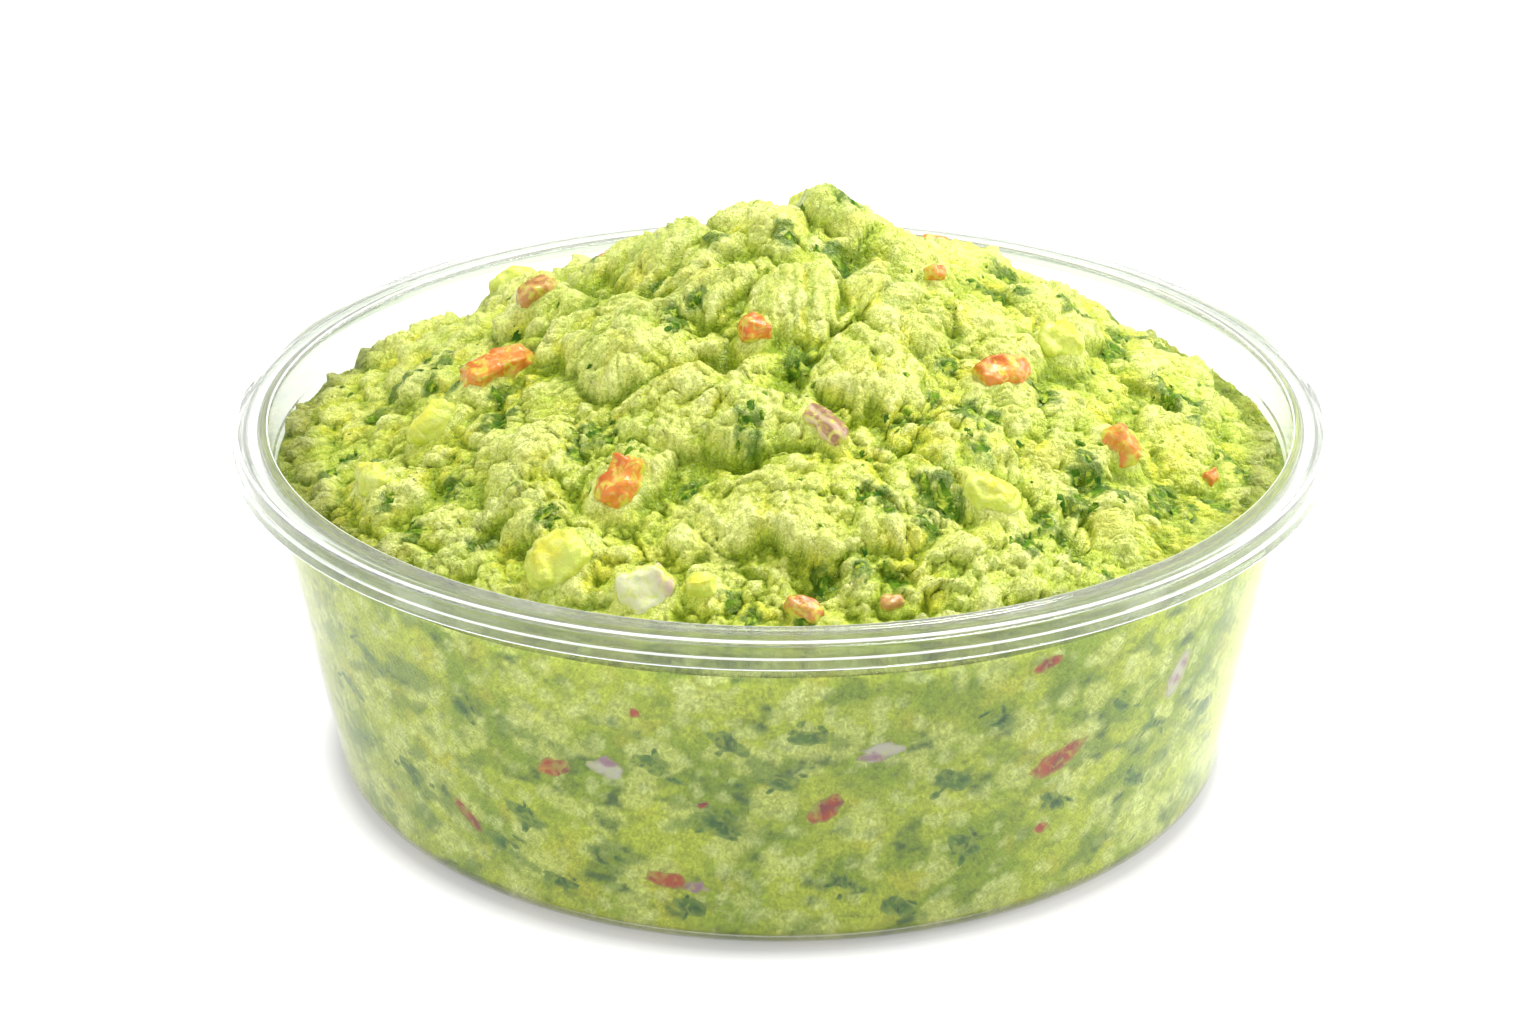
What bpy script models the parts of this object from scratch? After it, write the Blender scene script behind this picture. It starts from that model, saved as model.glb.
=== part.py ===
"""Guacamole heaped above the rim of a clear round tub, with diced tomato, onion and avocado in it.

Metres, +Z up. The origin is the middle of the tub's base, on the surface that it stands on.
The front of the heap faces -Y, and +X is on the right of someone who looks at the front.
"""

import math
from dataclasses import dataclass

import bmesh
import bpy
import numpy as np
from mathutils import Matrix, Vector

MM = 0.001
GAP = 0.3 * MM  # clearance between touching pieces

# Tub: a thin clear bowl with sloping sides and a stiff stepped rim.
RIM_RADIUS = 75.0 * MM
LIP_HEIGHT = 46.5 * MM  # from the base to the lower edge of the rim's skirt
RIM_HEIGHT = 3.6 * MM  # from that edge to the rim's top
WALL = 0.9 * MM
FLOOR = 1.0 * MM
BODY_RADIUS = 70.6 * MM  # outside, level with the skirt's lower edge
BODY_SLOPE = 0.186  # how much wider the wall grows for each metre of height
FOOT_RADIUS = 4.0 * MM  # bend between the wall and the base
RIM_WALL = 0.75 * MM  # thickness of the rim's flange and skirt
SEAT_DEPTH = 2.2 * MM  # from the skirt's lower edge down to the step that a lid's plug sits on
SEAT_WIDTH = 0.2 * MM
BEAD_WIDTH = 0.9 * MM  # the round bead along the flange's inner edge
FLANGE_WIDTH = 2.0 * MM  # the shallow channel between that bead and the outer one
FLANGE_DIP = 0.3 * MM
EDGE_ROUND = 0.4 * MM
SKIRT_STEP = 0.3 * MM
TUB_SIDES = 56

# Heap: a low cone with a round top, leaning to the right at its tip and lower at the back.
HEAP_HEIGHT = 33.2 * MM  # above the skirt's lower edge
HEAP_FOOT = 64.0 * MM  # radius where the heap is level with that edge
HEAP_POWER = 1.14
HEAP_LEAN = 2.4 * MM
BACK_DROP = 3.0 * MM
LUMP_PITCH = 7.0 * MM
LUMP_RISE = 1.7 * MM
LUMP_REACH = 0.78  # radius of a lump, as a share of the pitch
RELIEF_MEAN = 3.5 * MM  # how far folds and lumps stand above the bare cone on average
CALM_EDGE = 9.0 * MM  # width of the ring by the wall where the relief dies away
CALM_SHARE = 0.15  # what is left of the relief at the wall
BLEND = 0.45 * MM  # how softly neighbouring lumps run into each other
HEAP_CELLS = 41  # across the heap
FILL_RINGS = 3  # rows of faces down the side, above the bend at the foot
CONTACT_STEPS = 12

# Bits: cut cubes of tomato and onion, and rounded nuggets of avocado.
SOFT_EDGE = 0.14  # of a cube's shortest side, cut off its edges
TAPER = 0.86  # of a cube's size, left at its top
SKEW = 0.08  # of a cube's length, by which its long sides are sheared
DENTS = 0.08  # of a nugget's size
SLOPE_REACH = 2.5 * MM  # how far from a bit's middle the slope under it is measured
GOLDEN_ANGLE = math.pi * (3 - math.sqrt(5))


@dataclass(frozen=True)
class Lobe:
    """A fold of the heap: an oval swelling, steeper on the side that points down the slope."""

    x: float
    y: float
    length: float
    width: float
    rise: float
    yaw: float = 0.0  # degrees from +X to its length


@dataclass(frozen=True)
class Bit:
    """A piece that sits in the heap's surface. Sizes in millimetres, angles in degrees."""

    name: str
    kind: str
    x: float
    y: float
    size: tuple
    yaw: float
    tilt: float = 0.0
    sunk: float = 0.5  # share of its thickness that is under the surface


# Folds on the front and the sides, in millimetres: where they lie, their size and their direction.
FOLDS = (
    Lobe(-16.5, 4.0, 14, 12, 4.8),
    Lobe(-3.5, 5.0, 11, 8, 2.0, 10),
    Lobe(7.0, 1.5, 8, 6, 5.2, 70),
    Lobe(15.0, 0.0, 15, 8, 2.6, -10),
    Lobe(2.5, -17.0, 15, 9, 3.4, 80),
    Lobe(-22.0, -16.0, 27, 12, 3.6, -42),
    Lobe(-14.0, -13.5, 20, 9, 3.0, 5),
    Lobe(-9.0, -33.0, 28, 13, 3.8, -6),
    Lobe(10.5, -26.0, 14, 11, 2.8, 20),
    Lobe(17.0, -17.0, 14, 12, 2.8, 60),
    Lobe(29.0, -14.0, 15, 10, 3.0, -25),
    Lobe(-33.0, 1.5, 15, 11, 5.0, -15),
    Lobe(-46.0, -1.0, 17, 11, 2.8, 30),
    Lobe(37.5, 3.0, 15, 11, 5.0, 20),
    Lobe(54.0, 2.0, 15, 11, 3.6, -30),
    Lobe(5.0, -46.5, 30, 11, 3.2, 3),
    Lobe(-52.0, -29.0, 15, 9, 2.4, -35),
    Lobe(26.0, -52.0, 22, 9, 2.4, 25),
    Lobe(-19.0, -39.0, 13, 10, 2.6, 40),
    Lobe(-34.0, -31.0, 15, 10, 2.8, -30),
    Lobe(39.0, -25.0, 13, 11, 2.8, 60),
    Lobe(54.0, -15.0, 13, 9, 2.2, 70),
    Lobe(-24.0, -52.0, 18, 9, 2.2, -20),
    Lobe(-42.0, -14.0, 13, 10, 2.4, 10),
    Lobe(24.0, -36.0, 15, 9, 2.6, 35),
    Lobe(44.0, -38.0, 14, 8, 2.2, 50),
)
# Hollows between the folds, in the same terms, with their depth as a negative rise.
HOLLOWS = (
    Lobe(-8.5, -25.0, 9, 7, -3.6, -20),
    Lobe(0.0, -29.5, 8, 5, -3.0, 0),
    Lobe(10.5, -7.5, 8, 6, -3.6, 50),
    Lobe(-5.5, -10.5, 9, 4, -2.4, 15),
    Lobe(13.0, -34.5, 6, 5, -2.2, 0),
    Lobe(-4.5, -40.5, 5, 5, -2.0, 0),
    Lobe(20.0, -44.5, 8, 4, -2.8, -10),
    Lobe(4.5, -55.5, 10, 4, -2.6, 0),
    Lobe(36.5, -42.0, 5, 9, -2.4, 0),
    Lobe(-38.0, -41.0, 7, 5, -2.6, 20),
    Lobe(-40.5, -48.0, 8, 4, -2.4, -40),
    Lobe(50.0, -6.0, 8, 4, -2.2, -30),
)
BACK_EDGE = 10.0  # millimetres behind the middle, where the folds at the back begin
BACK_SPACING = 9.0  # millimetres
BACK_REACH = 62.0  # millimetres from the middle to the last of them

BITS = (
    Bit("tomato_1", "tomato", -38.0, -12.2, (10.5, 5.5, 4.5), 33, 10),
    Bit("tomato_2", "tomato", -20.7, -42.3, (7.0, 5.4, 4.0), 50, -10),
    Bit("tomato_3", "tomato", 28.8, -21.8, (8.0, 4.5, 4.2), 32, 16),
    Bit("tomato_4", "tomato", 44.5, -26.1, (5.8, 4.4, 4.0), -12, -10),
    Bit("tomato_5", "tomato", -33.2, 0.5, (6.4, 3.6, 3.2), 12, 10),
    Bit("tomato_6", "tomato", -3.6, -22.1, (3.8, 3.8, 3.6), 20, 30),
    Bit("onion_1", "onion", 5.4, -37.0, (7.0, 3.8, 2.4), -35, 25),
    Bit("onion_2", "onion", -16.8, -57.9, (7.0, 6.4, 3.0), 10, 30),
    Bit("avocado_1", "avocado", -27.8, -51.5, (8.6, 7.4, 6.4), 20, 0, 0.45),
    Bit("avocado_2", "avocado", 26.6, -42.8, (7.0, 6.2, 5.4), 0, 0, 0.45),
    Bit("avocado_3", "avocado", 37.0, -8.8, (6.6, 5.6, 5.2), 30, 0, 0.4),
)


def material(name, colour, roughness, transmission=0.0):
    """A Principled material in one colour."""
    made = bpy.data.materials.new(name)
    made.use_nodes = True
    made.diffuse_color = (*colour, 1.0)
    shader = made.node_tree.nodes["Principled BSDF"]
    shader.inputs["Base Color"].default_value = (*colour, 1.0)
    shader.inputs["Roughness"].default_value = roughness
    shader.inputs["Metallic"].default_value = 0.0
    shader.inputs["Transmission Weight"].default_value = transmission
    return made


def wall_radius(height):
    """The tub's outer radius at a height on its straight wall."""
    return BODY_RADIUS + BODY_SLOPE * (height - LIP_HEIGHT)


def foot_arc(inset, steps):
    """Radius and height along the bend from the wall to the base, this far inside the outer face.

    One centre serves the outer face and those inside it: (c + r cos a, FOOT_RADIUS + r sin a).
    None of the inner ones reaches lower than the top of the tub's floor.
    """
    lean = math.atan(BODY_SLOPE)
    centre = wall_radius(FOOT_RADIUS) - FOOT_RADIUS / math.cos(lean)
    radius = FOOT_RADIUS - inset
    lowest = FLOOR if inset > 0 else 0.0
    points = []
    for step in range(steps + 1):
        angle = -lean + (lean - math.pi / 2) * step / steps
        height = max(FOOT_RADIUS + radius * math.sin(angle), lowest)
        points.append((centre + radius * math.cos(angle), height))
    return points


def inner_radius(height, inset):
    """The radius at a height of the straight surface that lies this far inside the tub's wall."""
    return wall_radius(height) - inset * math.hypot(1.0, BODY_SLOPE)


def tub_profile():
    """Radius and height along the tub's section: up the inside, over the rim, down the outside."""
    top = LIP_HEIGHT + RIM_HEIGHT
    under = top - FLANGE_DIP - RIM_WALL
    seat = LIP_HEIGHT - SEAT_DEPTH
    mouth = inner_radius(LIP_HEIGHT, WALL) + SEAT_WIDTH
    channel = mouth + BEAD_WIDTH
    brim = channel + FLANGE_WIDTH
    skirt_top = RIM_RADIUS - 2 * EDGE_ROUND
    step = LIP_HEIGHT + RIM_HEIGHT / 2
    inside = [(0.0, FLOOR)] + foot_arc(WALL, 4)[::-1] + [(inner_radius(seat, WALL), seat)]
    inner_bead = [
        (inner_radius(seat, WALL) + SEAT_WIDTH, seat + 2 * SEAT_WIDTH),
        (mouth, top - EDGE_ROUND),
        (mouth + 0.3 * EDGE_ROUND, top - 0.3 * EDGE_ROUND),
        (mouth + EDGE_ROUND, top),
        (channel, top - FLANGE_DIP),
    ]
    outer_bead = [
        (brim, top - FLANGE_DIP),
        (brim + EDGE_ROUND, top),
        (skirt_top - EDGE_ROUND, top - 0.3 * EDGE_ROUND),
        (skirt_top, top - 1.5 * EDGE_ROUND),
    ]
    skirt = [
        (RIM_RADIUS - SKIRT_STEP - EDGE_ROUND / 2, step),
        (RIM_RADIUS - EDGE_ROUND / 2, step - SKIRT_STEP),
        (RIM_RADIUS, LIP_HEIGHT + EDGE_ROUND / 4),
        (RIM_RADIUS - EDGE_ROUND / 4, LIP_HEIGHT),
        (RIM_RADIUS - RIM_WALL, LIP_HEIGHT),
    ]
    beneath = [
        (skirt_top - RIM_WALL, under - EDGE_ROUND),
        (skirt_top - RIM_WALL - EDGE_ROUND, under),
        (BODY_RADIUS + 2 * EDGE_ROUND, under),
        (BODY_RADIUS + EDGE_ROUND, under - EDGE_ROUND),
        (BODY_RADIUS, LIP_HEIGHT),
    ]
    outside = foot_arc(0.0, 5) + [(0.0, 0.0)]
    return inside + inner_bead + outer_bead + skirt + beneath + outside


def turned(name, profile, sides, collection):
    """A solid of revolution about Z from a section whose points run down its outer side."""
    mesh = bpy.data.meshes.new(name)
    points = [(radius, 0.0, height) for radius, height in profile]
    mesh.from_pydata(points, [(i, i + 1) for i in range(len(points) - 1)], [])
    made = bpy.data.objects.new(name, mesh)
    collection.objects.link(made)
    screw = made.modifiers.new("Turn", "SCREW")
    screw.steps = sides
    screw.render_steps = sides
    screw.use_merge_vertices = True
    screw.merge_threshold = 0.01 * MM
    screw.use_smooth_shade = True
    return made


def chance(i, j, salt):
    """A fixed number from 0 to 1 for each pair of whole numbers."""
    value = np.sin(i * 12.9898 + j * 78.233 + salt * 37.719) * 43758.5453
    return value - np.floor(value)


def soft_max(a, b, softness):
    """The larger of two heights, rounded where they cross: (a + b + hypot(a - b, softness)) / 2."""
    return 0.5 * (a + b + np.hypot(a - b, softness))


def swelling(x, y, lobe):
    """How far a fold stands up at each point: rise (1 - q)^0.6, with q the squared oval distance.

    The half of the oval that points down the slope is narrower, so that side is steeper.
    """
    yaw = math.radians(lobe.yaw)
    along = (x - lobe.x) * math.cos(yaw) + (y - lobe.y) * math.sin(yaw)
    across = (y - lobe.y) * math.cos(yaw) - (x - lobe.x) * math.sin(yaw)
    downhill = across * (lobe.y * math.cos(yaw) - lobe.x * math.sin(yaw)) > 0
    half = lobe.width * np.where(downhill, 0.5, 0.75)
    oval = (2 * along / lobe.length) ** 2 + (across / half) ** 2
    return lobe.rise * np.clip(1 - oval, 0, 1) ** 0.6


def back_folds():
    """The folds of the back, on a sunflower spiral that covers the heap evenly."""
    found = []
    for step in range(1, int((BACK_REACH / BACK_SPACING) ** 2) + 1):
        radius = BACK_SPACING * math.sqrt(step)
        x = radius * math.cos(step * GOLDEN_ANGLE)
        y = radius * math.sin(step * GOLDEN_ANGLE)
        if y > BACK_EDGE:
            length = 13 + 6 * chance(step, 0, 1)
            rise = 2.6 + 1.4 * chance(step, 0, 2)
            found.append(Lobe(x, y, length, 0.7 * length, rise, 180 * chance(step, 0, 3)))
    return tuple(found)


def lumps(x, y):
    """The lumps of the mash: round domes on a jittered triangular grid, softly joined."""
    pitch = LUMP_PITCH / MM
    row_pitch = pitch * math.sqrt(3) / 2
    height = np.zeros_like(x)
    for row_step in (-1, 0, 1):
        j = np.round(y / row_pitch) + row_step
        shift = 0.5 * (j % 2)
        for column_step in (-1, 0, 1):
            i = np.round(x / pitch - shift) + column_step
            centre_x = (i + shift + 0.5 * (chance(i, j, 4) - 0.5)) * pitch
            centre_y = (j + 0.5 * (chance(i, j, 5) - 0.5)) * row_pitch
            reach = pitch * LUMP_REACH * (0.75 + 0.5 * chance(i, j, 6))
            far = ((x - centre_x) ** 2 + (y - centre_y) ** 2) / reach**2
            rise = LUMP_RISE / MM * (0.6 + 0.8 * chance(i, j, 7))
            height = soft_max(height, rise * np.sqrt(np.clip(1 - far, 0, 1)), BLEND / MM)
    return height


ALL_FOLDS = FOLDS + back_folds()


def heap_height(x, y):
    """The height of the heap's surface above the base at each point, all in metres."""
    x_mm = np.asarray(x, float) / MM
    y_mm = np.asarray(y, float) / MM
    spread = np.hypot(x_mm, y_mm) / (HEAP_FOOT / MM)
    lean = HEAP_LEAN / MM * np.clip(1 - spread**2, 0, 1)
    spread = np.hypot(x_mm - lean, y_mm) / (HEAP_FOOT / MM)
    height = LIP_HEIGHT / MM + HEAP_HEIGHT / MM * (1 - spread**HEAP_POWER)
    behind = np.clip(y_mm / (HEAP_FOOT / MM), 0, 1.1)
    height -= BACK_DROP / MM * behind**2
    relief = np.zeros_like(x_mm)
    for lobe in ALL_FOLDS:
        relief = soft_max(relief, swelling(x_mm, y_mm, lobe), BLEND / MM)
    for lobe in HOLLOWS:
        relief += swelling(x_mm, y_mm, lobe)
    relief += lumps(x_mm, y_mm)
    from_wall = (inner_radius(LIP_HEIGHT, WALL) / MM - np.hypot(x_mm, y_mm)) / (CALM_EDGE / MM)
    strength = CALM_SHARE + (1 - CALM_SHARE) * np.clip(from_wall, 0, 1)
    return (height + (relief - RELIEF_MEAN / MM) * strength) * MM


def disc_from_square(u, v):
    """Maps the square from -1 to 1 onto the unit disc, ring by ring, with cells of like area."""
    reach = np.maximum(np.abs(u), np.abs(v))
    flat = np.where(np.abs(u) >= np.abs(v), v / np.where(u == 0, 1, u), u / np.where(v == 0, 1, v))
    turn = math.pi / 4 * flat
    wide = np.abs(u) >= np.abs(v)
    x = np.where(wide, np.sign(u) * np.cos(turn), np.sign(v) * np.sin(turn))
    y = np.where(wide, np.sign(u) * np.sin(turn), np.sign(v) * np.cos(turn))
    return reach * x, reach * y


def contact_height(x, y):
    """Where the heap meets the tub's wall, found by stepping along the wall's slope."""
    angle = np.arctan2(y, x)
    height = np.full_like(x, LIP_HEIGHT)
    for _ in range(CONTACT_STEPS):
        radius = inner_radius(height, WALL + GAP)
        height = heap_height(radius * np.cos(angle), radius * np.sin(angle))
        height = np.minimum(height, LIP_HEIGHT - SEAT_DEPTH - GAP)
    return height


def guacamole(collection):
    """The dip as one solid: the lumpy heap, and the fill down the wall to the tub's floor."""
    mesh = bmesh.new()
    bmesh.ops.create_grid(mesh, x_segments=HEAP_CELLS, y_segments=HEAP_CELLS, size=1.0)
    mesh.verts.ensure_lookup_table()
    flat = np.array([vertex.co for vertex in mesh.verts])
    x, y = disc_from_square(flat[:, 0], flat[:, 1])
    edge_height = contact_height(x, y)
    edge_radius = inner_radius(edge_height, WALL + GAP)
    height = heap_height(x * edge_radius, y * edge_radius)
    rim = np.hypot(x, y) > 1 - 1e-6
    height = np.where(rim, edge_height, height)
    for vertex, place in zip(mesh.verts, np.stack([x * edge_radius, y * edge_radius, height], 1)):
        vertex.co = place
    foot = foot_arc(WALL + GAP, 3)
    edges = [edge for edge in mesh.edges if edge.is_boundary]
    for ring in range(FILL_RINGS):
        edges = lowered(mesh, edges, 1 / (FILL_RINGS - ring), foot[0])
    for radius, level in foot[1:]:
        edges = lowered(mesh, edges, 1.0, (radius, max(level, FLOOR + GAP)))
    bmesh.ops.edgeloop_fill(mesh, edges=edges)
    bmesh.ops.recalc_face_normals(mesh, faces=mesh.faces)
    return placed("guacamole", mesh, collection)


def lowered(mesh, edges, share, target):
    """Extrudes a loop of edges this share of the way to a ring of a given radius and height."""
    made = bmesh.ops.extrude_edge_only(mesh, edges=edges)["geom"]
    for vertex in (item for item in made if isinstance(item, bmesh.types.BMVert)):
        around = vertex.co.xy.normalized()
        radius = vertex.co.xy.length
        radius += (target[0] - radius) * share
        height = vertex.co.z + (target[1] - vertex.co.z) * share
        vertex.co = (around.x * radius, around.y * radius, height)
    return [item for item in made if isinstance(item, bmesh.types.BMEdge)]


def placed(name, mesh, collection):
    """A new object from a bmesh, which it frees."""
    data = bpy.data.meshes.new(name)
    mesh.to_mesh(data)
    mesh.free()
    made = bpy.data.objects.new(name, data)
    collection.objects.link(made)
    return made


def bit_frame(bit):
    """Where a bit lies and how it is turned: flat on the slope, then tilted about its length."""
    x, y = bit.x * MM, bit.y * MM
    around = np.array([(1, 0), (-1, 0), (0, 1), (0, -1), (0, 0)]) * SLOPE_REACH
    east, west, north, south, _ = levels = heap_height(x + around[:, 0], y + around[:, 1])
    slope = np.array([east - west, north - south]) / (2 * SLOPE_REACH)
    normal = Vector((-slope[0], -slope[1], 1.0)).normalized()
    lie = Vector((0, 0, 1)).rotation_difference(normal).to_matrix().to_4x4()
    yaw = Matrix.Rotation(math.radians(bit.yaw), 4, "Z")
    tilt = Matrix.Rotation(math.radians(bit.tilt), 4, "X")
    middle = Vector((x, y, levels.mean())) + normal * bit.size[2] * MM * (0.5 - bit.sunk)
    return Matrix.Translation(middle) @ lie @ yaw @ tilt


def diced(bit, grow):
    """A cut cube with softened edges and sides that taper a little, grown all over by a margin."""
    mesh = bmesh.new()
    bmesh.ops.create_cube(mesh, size=1.0)
    bevel = SOFT_EDGE * min(bit.size) * MM
    length, width, thickness = (side * MM + 2 * grow for side in bit.size)
    for vertex in mesh.verts:
        x, y, z = vertex.co
        taper = TAPER if z > 0 else 1.0
        vertex.co = ((x * taper + 2 * SKEW * y) * length, y * taper * width, z * thickness)
    bmesh.ops.bevel(mesh, geom=mesh.edges, offset=bevel, segments=1, affect="EDGES")
    return mesh


def nugget(bit, grow):
    """A rounded nugget of flesh: a ball pressed to its size, with a few flats and dents."""
    mesh = bmesh.new()
    bmesh.ops.create_icosphere(mesh, subdivisions=2, radius=0.5)
    length, width, thickness = (side * MM + 2 * grow for side in bit.size)
    for vertex in mesh.verts:
        x, y, z = vertex.co
        wave = math.sin(9 * x + bit.x) * math.cos(8 * y + bit.y) + 0.7 * math.sin(11 * z + bit.yaw)
        dent = 1 + DENTS * wave
        vertex.co = (x * length * dent, y * width * dent, z * thickness * dent)
    return mesh


def bit_object(bit, name, grow, collection):
    """One bit, or its cutter when it is grown, placed in the heap."""
    mesh = nugget(bit, grow) if bit.kind == "avocado" else diced(bit, grow)
    made = placed(name, mesh, collection)
    made.matrix_world = bit_frame(bit)
    return made


def main():
    """Builds the tub, the dip and the bits in its surface."""
    for old in list(bpy.data.objects):
        bpy.data.objects.remove(old, do_unlink=True)
    parts = bpy.data.collections.new("guacamole_in_tub")
    cutters = bpy.data.collections.new("cutters")
    bpy.context.scene.collection.children.link(parts)
    bpy.context.scene.collection.children.link(cutters)

    finishes = {
        "tub": material("clear_tub", (0.97, 0.98, 0.97), 0.05, 1.0),
        "guacamole": material("mash", (0.52, 0.62, 0.12), 0.35),
        "tomato": material("tomato", (0.72, 0.12, 0.04), 0.25),
        "onion": material("onion", (0.72, 0.55, 0.60), 0.3),
        "avocado": material("avocado", (0.68, 0.66, 0.12), 0.35),
    }

    tub = turned("tub", tub_profile(), TUB_SIDES, parts)
    tub.data.materials.append(finishes["tub"])
    dip = guacamole(parts)
    dip.data.materials.append(finishes["guacamole"])

    for bit in BITS:
        piece = bit_object(bit, bit.name, 0.0, parts)
        piece.data.materials.append(finishes[bit.kind])
        cutter = bit_object(bit, "pocket_" + bit.name, GAP, cutters)
        cutter.hide_render = True
        cutter.display_type = "WIRE"
    pockets = dip.modifiers.new("Pockets", "BOOLEAN")
    pockets.operation = "DIFFERENCE"
    pockets.operand_type = "COLLECTION"
    pockets.collection = cutters
    pockets.solver = "EXACT"


main()
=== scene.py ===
"""Guacamole heaped in a clear round tub: the finished surfaces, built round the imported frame.

Metres, +Z up. The middle of the tub's base is the origin, the front of the heap faces -Y, and +X
is on the right of someone who looks at the front. Sizes marked mm are in millimetres.
"""

import logging
import math
from dataclasses import dataclass, field
from enum import Enum
from typing import Callable, Optional, Sequence

import bpy
import numpy as np
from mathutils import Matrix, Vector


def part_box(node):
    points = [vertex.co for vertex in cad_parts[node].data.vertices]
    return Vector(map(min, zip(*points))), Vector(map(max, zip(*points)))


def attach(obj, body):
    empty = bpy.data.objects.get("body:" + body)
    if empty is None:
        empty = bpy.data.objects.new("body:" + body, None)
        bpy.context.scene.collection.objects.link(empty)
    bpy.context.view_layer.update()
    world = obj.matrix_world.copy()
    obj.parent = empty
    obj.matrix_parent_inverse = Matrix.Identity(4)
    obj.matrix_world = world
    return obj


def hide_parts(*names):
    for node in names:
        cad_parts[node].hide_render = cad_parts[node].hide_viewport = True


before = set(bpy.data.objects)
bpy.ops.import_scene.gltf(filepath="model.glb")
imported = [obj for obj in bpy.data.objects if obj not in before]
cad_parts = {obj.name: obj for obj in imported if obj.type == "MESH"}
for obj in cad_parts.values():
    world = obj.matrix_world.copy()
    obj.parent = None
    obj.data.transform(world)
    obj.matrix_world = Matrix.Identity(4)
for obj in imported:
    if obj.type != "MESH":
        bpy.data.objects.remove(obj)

MM = 0.001
GOLDEN_ANGLE = math.pi * (3 - math.sqrt(5))
LOG = logging.getLogger("guacamole")

Array = np.ndarray


# ---------------------------------------------------------------------------------------------
# Noise: whole-array fields of position, the same on every run.
# ---------------------------------------------------------------------------------------------


def chance(*whole: Array, salt: int = 0) -> Array:
    """A fixed number from 0 to 1 for each set of whole numbers, by mixing their bits.

    Args:
        whole: Arrays of whole numbers, all of one shape.
        salt: Picks one of many unlike fields.

    Returns:
        An array of that shape.
    """
    factors = (73856093, 19349663, 83492791)
    mixed = np.full(np.shape(whole[0]), (salt * 40503 + 12345) & 0xFFFFFFFF, np.int64)
    for value, factor in zip(whole, factors):
        mixed ^= np.asarray(value).astype(np.int64) * factor
    mixed &= 0xFFFFFFFF
    for _ in range(2):
        mixed = ((mixed >> 16) ^ mixed) * 0x45D9F3B & 0xFFFFFFFF
    return ((mixed >> 16) ^ mixed) / 4294967296.0


def waves(points: Array, size: float, salt: int, octaves: int = 1) -> Array:
    """Smooth gradient noise, about -1 to 1: the sum over octaves k of noise(2^k p / size) / 2^k.

    Args:
        points: An (n, 3) array of places.
        size: The width of the largest swells, in the points' unit.
        salt: Picks the field.
        octaves: How many times finer detail is added.

    Returns:
        An array of n values.
    """
    total = np.zeros(len(points))
    share = 1.0
    for octave in range(octaves):
        scaled = points * (2**octave / size) + 17.3 * octave
        low = np.floor(scaled)
        part = scaled - low
        ease = part**3 * (part * (part * 6 - 15) + 10)
        cell = low.astype(np.int64)
        value = np.zeros(len(points))
        for corner in range(8):
            step = np.array([corner & 1, corner >> 1 & 1, corner >> 2 & 1])
            ix, iy, iz = (cell + step).T
            turn = 2 * math.pi * chance(ix, iy, iz, salt=salt + 2 * octave)
            rise = 2 * chance(ix, iy, iz, salt=salt + 2 * octave + 1) - 1
            flat = np.sqrt(1 - rise**2)
            away = part - step
            slope = flat * (np.cos(turn) * away[:, 0] + np.sin(turn) * away[:, 1]) + rise * away[:, 2]
            weight = np.prod(np.where(step == 1, ease, 1 - ease), axis=1)
            value += weight * slope
        total += share * 1.6 * value
        share *= 0.5
    return total


@dataclass(frozen=True)
class Cells:
    """Cellular noise round points scattered one to a cube, at many places at once."""

    near: Array  # distance to the nearest point, over the cubes' side
    gap: Array  # how much further the second nearest is
    owner: Array  # a number from 0 to 1 that belongs to the nearest point
    facet: Array  # height over tilted planes, one to a point, about -1 to 1

    @classmethod
    def around(cls, points: Array, size: float, salt: int, jitter: float = 0.85, crisp: float = 12.0) -> "Cells":
        """Finds the nearest points and the facets at each place.

        Formula of the facets: the mean of h_i + t_i . (p - c_i) with weights
        exp(-crisp |p - c_i|^2), where h_i and t_i are a level and a tilt of their own.

        Args:
            points: An (n, 3) array of places.
            size: The cubes' side, in the points' unit.
            salt: Picks the field.
            jitter: How far a point may lie from its cube's middle, as a share of the cube.
            crisp: How sharply one facet gives way to the next.
        """
        scaled = points / size
        base = np.floor(scaled).astype(np.int64)
        first = np.full(len(points), 9.0)
        second = first.copy()
        owner = np.zeros(len(points))
        total = np.full(len(points), 1e-12)
        facet = np.zeros(len(points))
        for i in (-1, 0, 1):
            for j in (-1, 0, 1):
                for k in (-1, 0, 1):
                    cell = base + (i, j, k)
                    ix, iy, iz = cell.T
                    draw = [chance(ix, iy, iz, salt=salt + n) - 0.5 for n in range(7)]
                    away = scaled - (cell + 0.5 + jitter * np.stack(draw[:3], 1))
                    square = np.einsum("ij,ij->i", away, away)
                    far = np.sqrt(square)
                    nearer = far < first
                    second = np.where(nearer, first, np.minimum(second, far))
                    owner = np.where(nearer, draw[3] + 0.5, owner)
                    first = np.minimum(first, far)
                    weight = np.exp(-crisp * square)
                    level = draw[3] + 2.4 * (draw[4] * away[:, 0] + draw[5] * away[:, 1] + draw[6] * away[:, 2])
                    total += weight
                    facet += weight * level
        return cls(first, second - first, owner, facet / total)

    def domes(self, reach: float, share: float) -> Array:
        """Domes of unlike heights, 0 to 1: sqrt(1 - (near / reach)^2) on a share of the points."""
        keep = smooth_step(self.owner, 0.92 - share, 1.08 - share) * (0.55 + 0.45 * self.owner)
        return np.sqrt(np.clip(1 - (self.near / reach) ** 2, 0, 1)) * keep


def smooth_step(value: Array, low: float, high: float) -> Array:
    """0 below low, 1 above high and t^2 (3 - 2t) between."""
    t = np.clip((value - low) / (high - low), 0, 1)
    return t * t * (3 - 2 * t)


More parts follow.
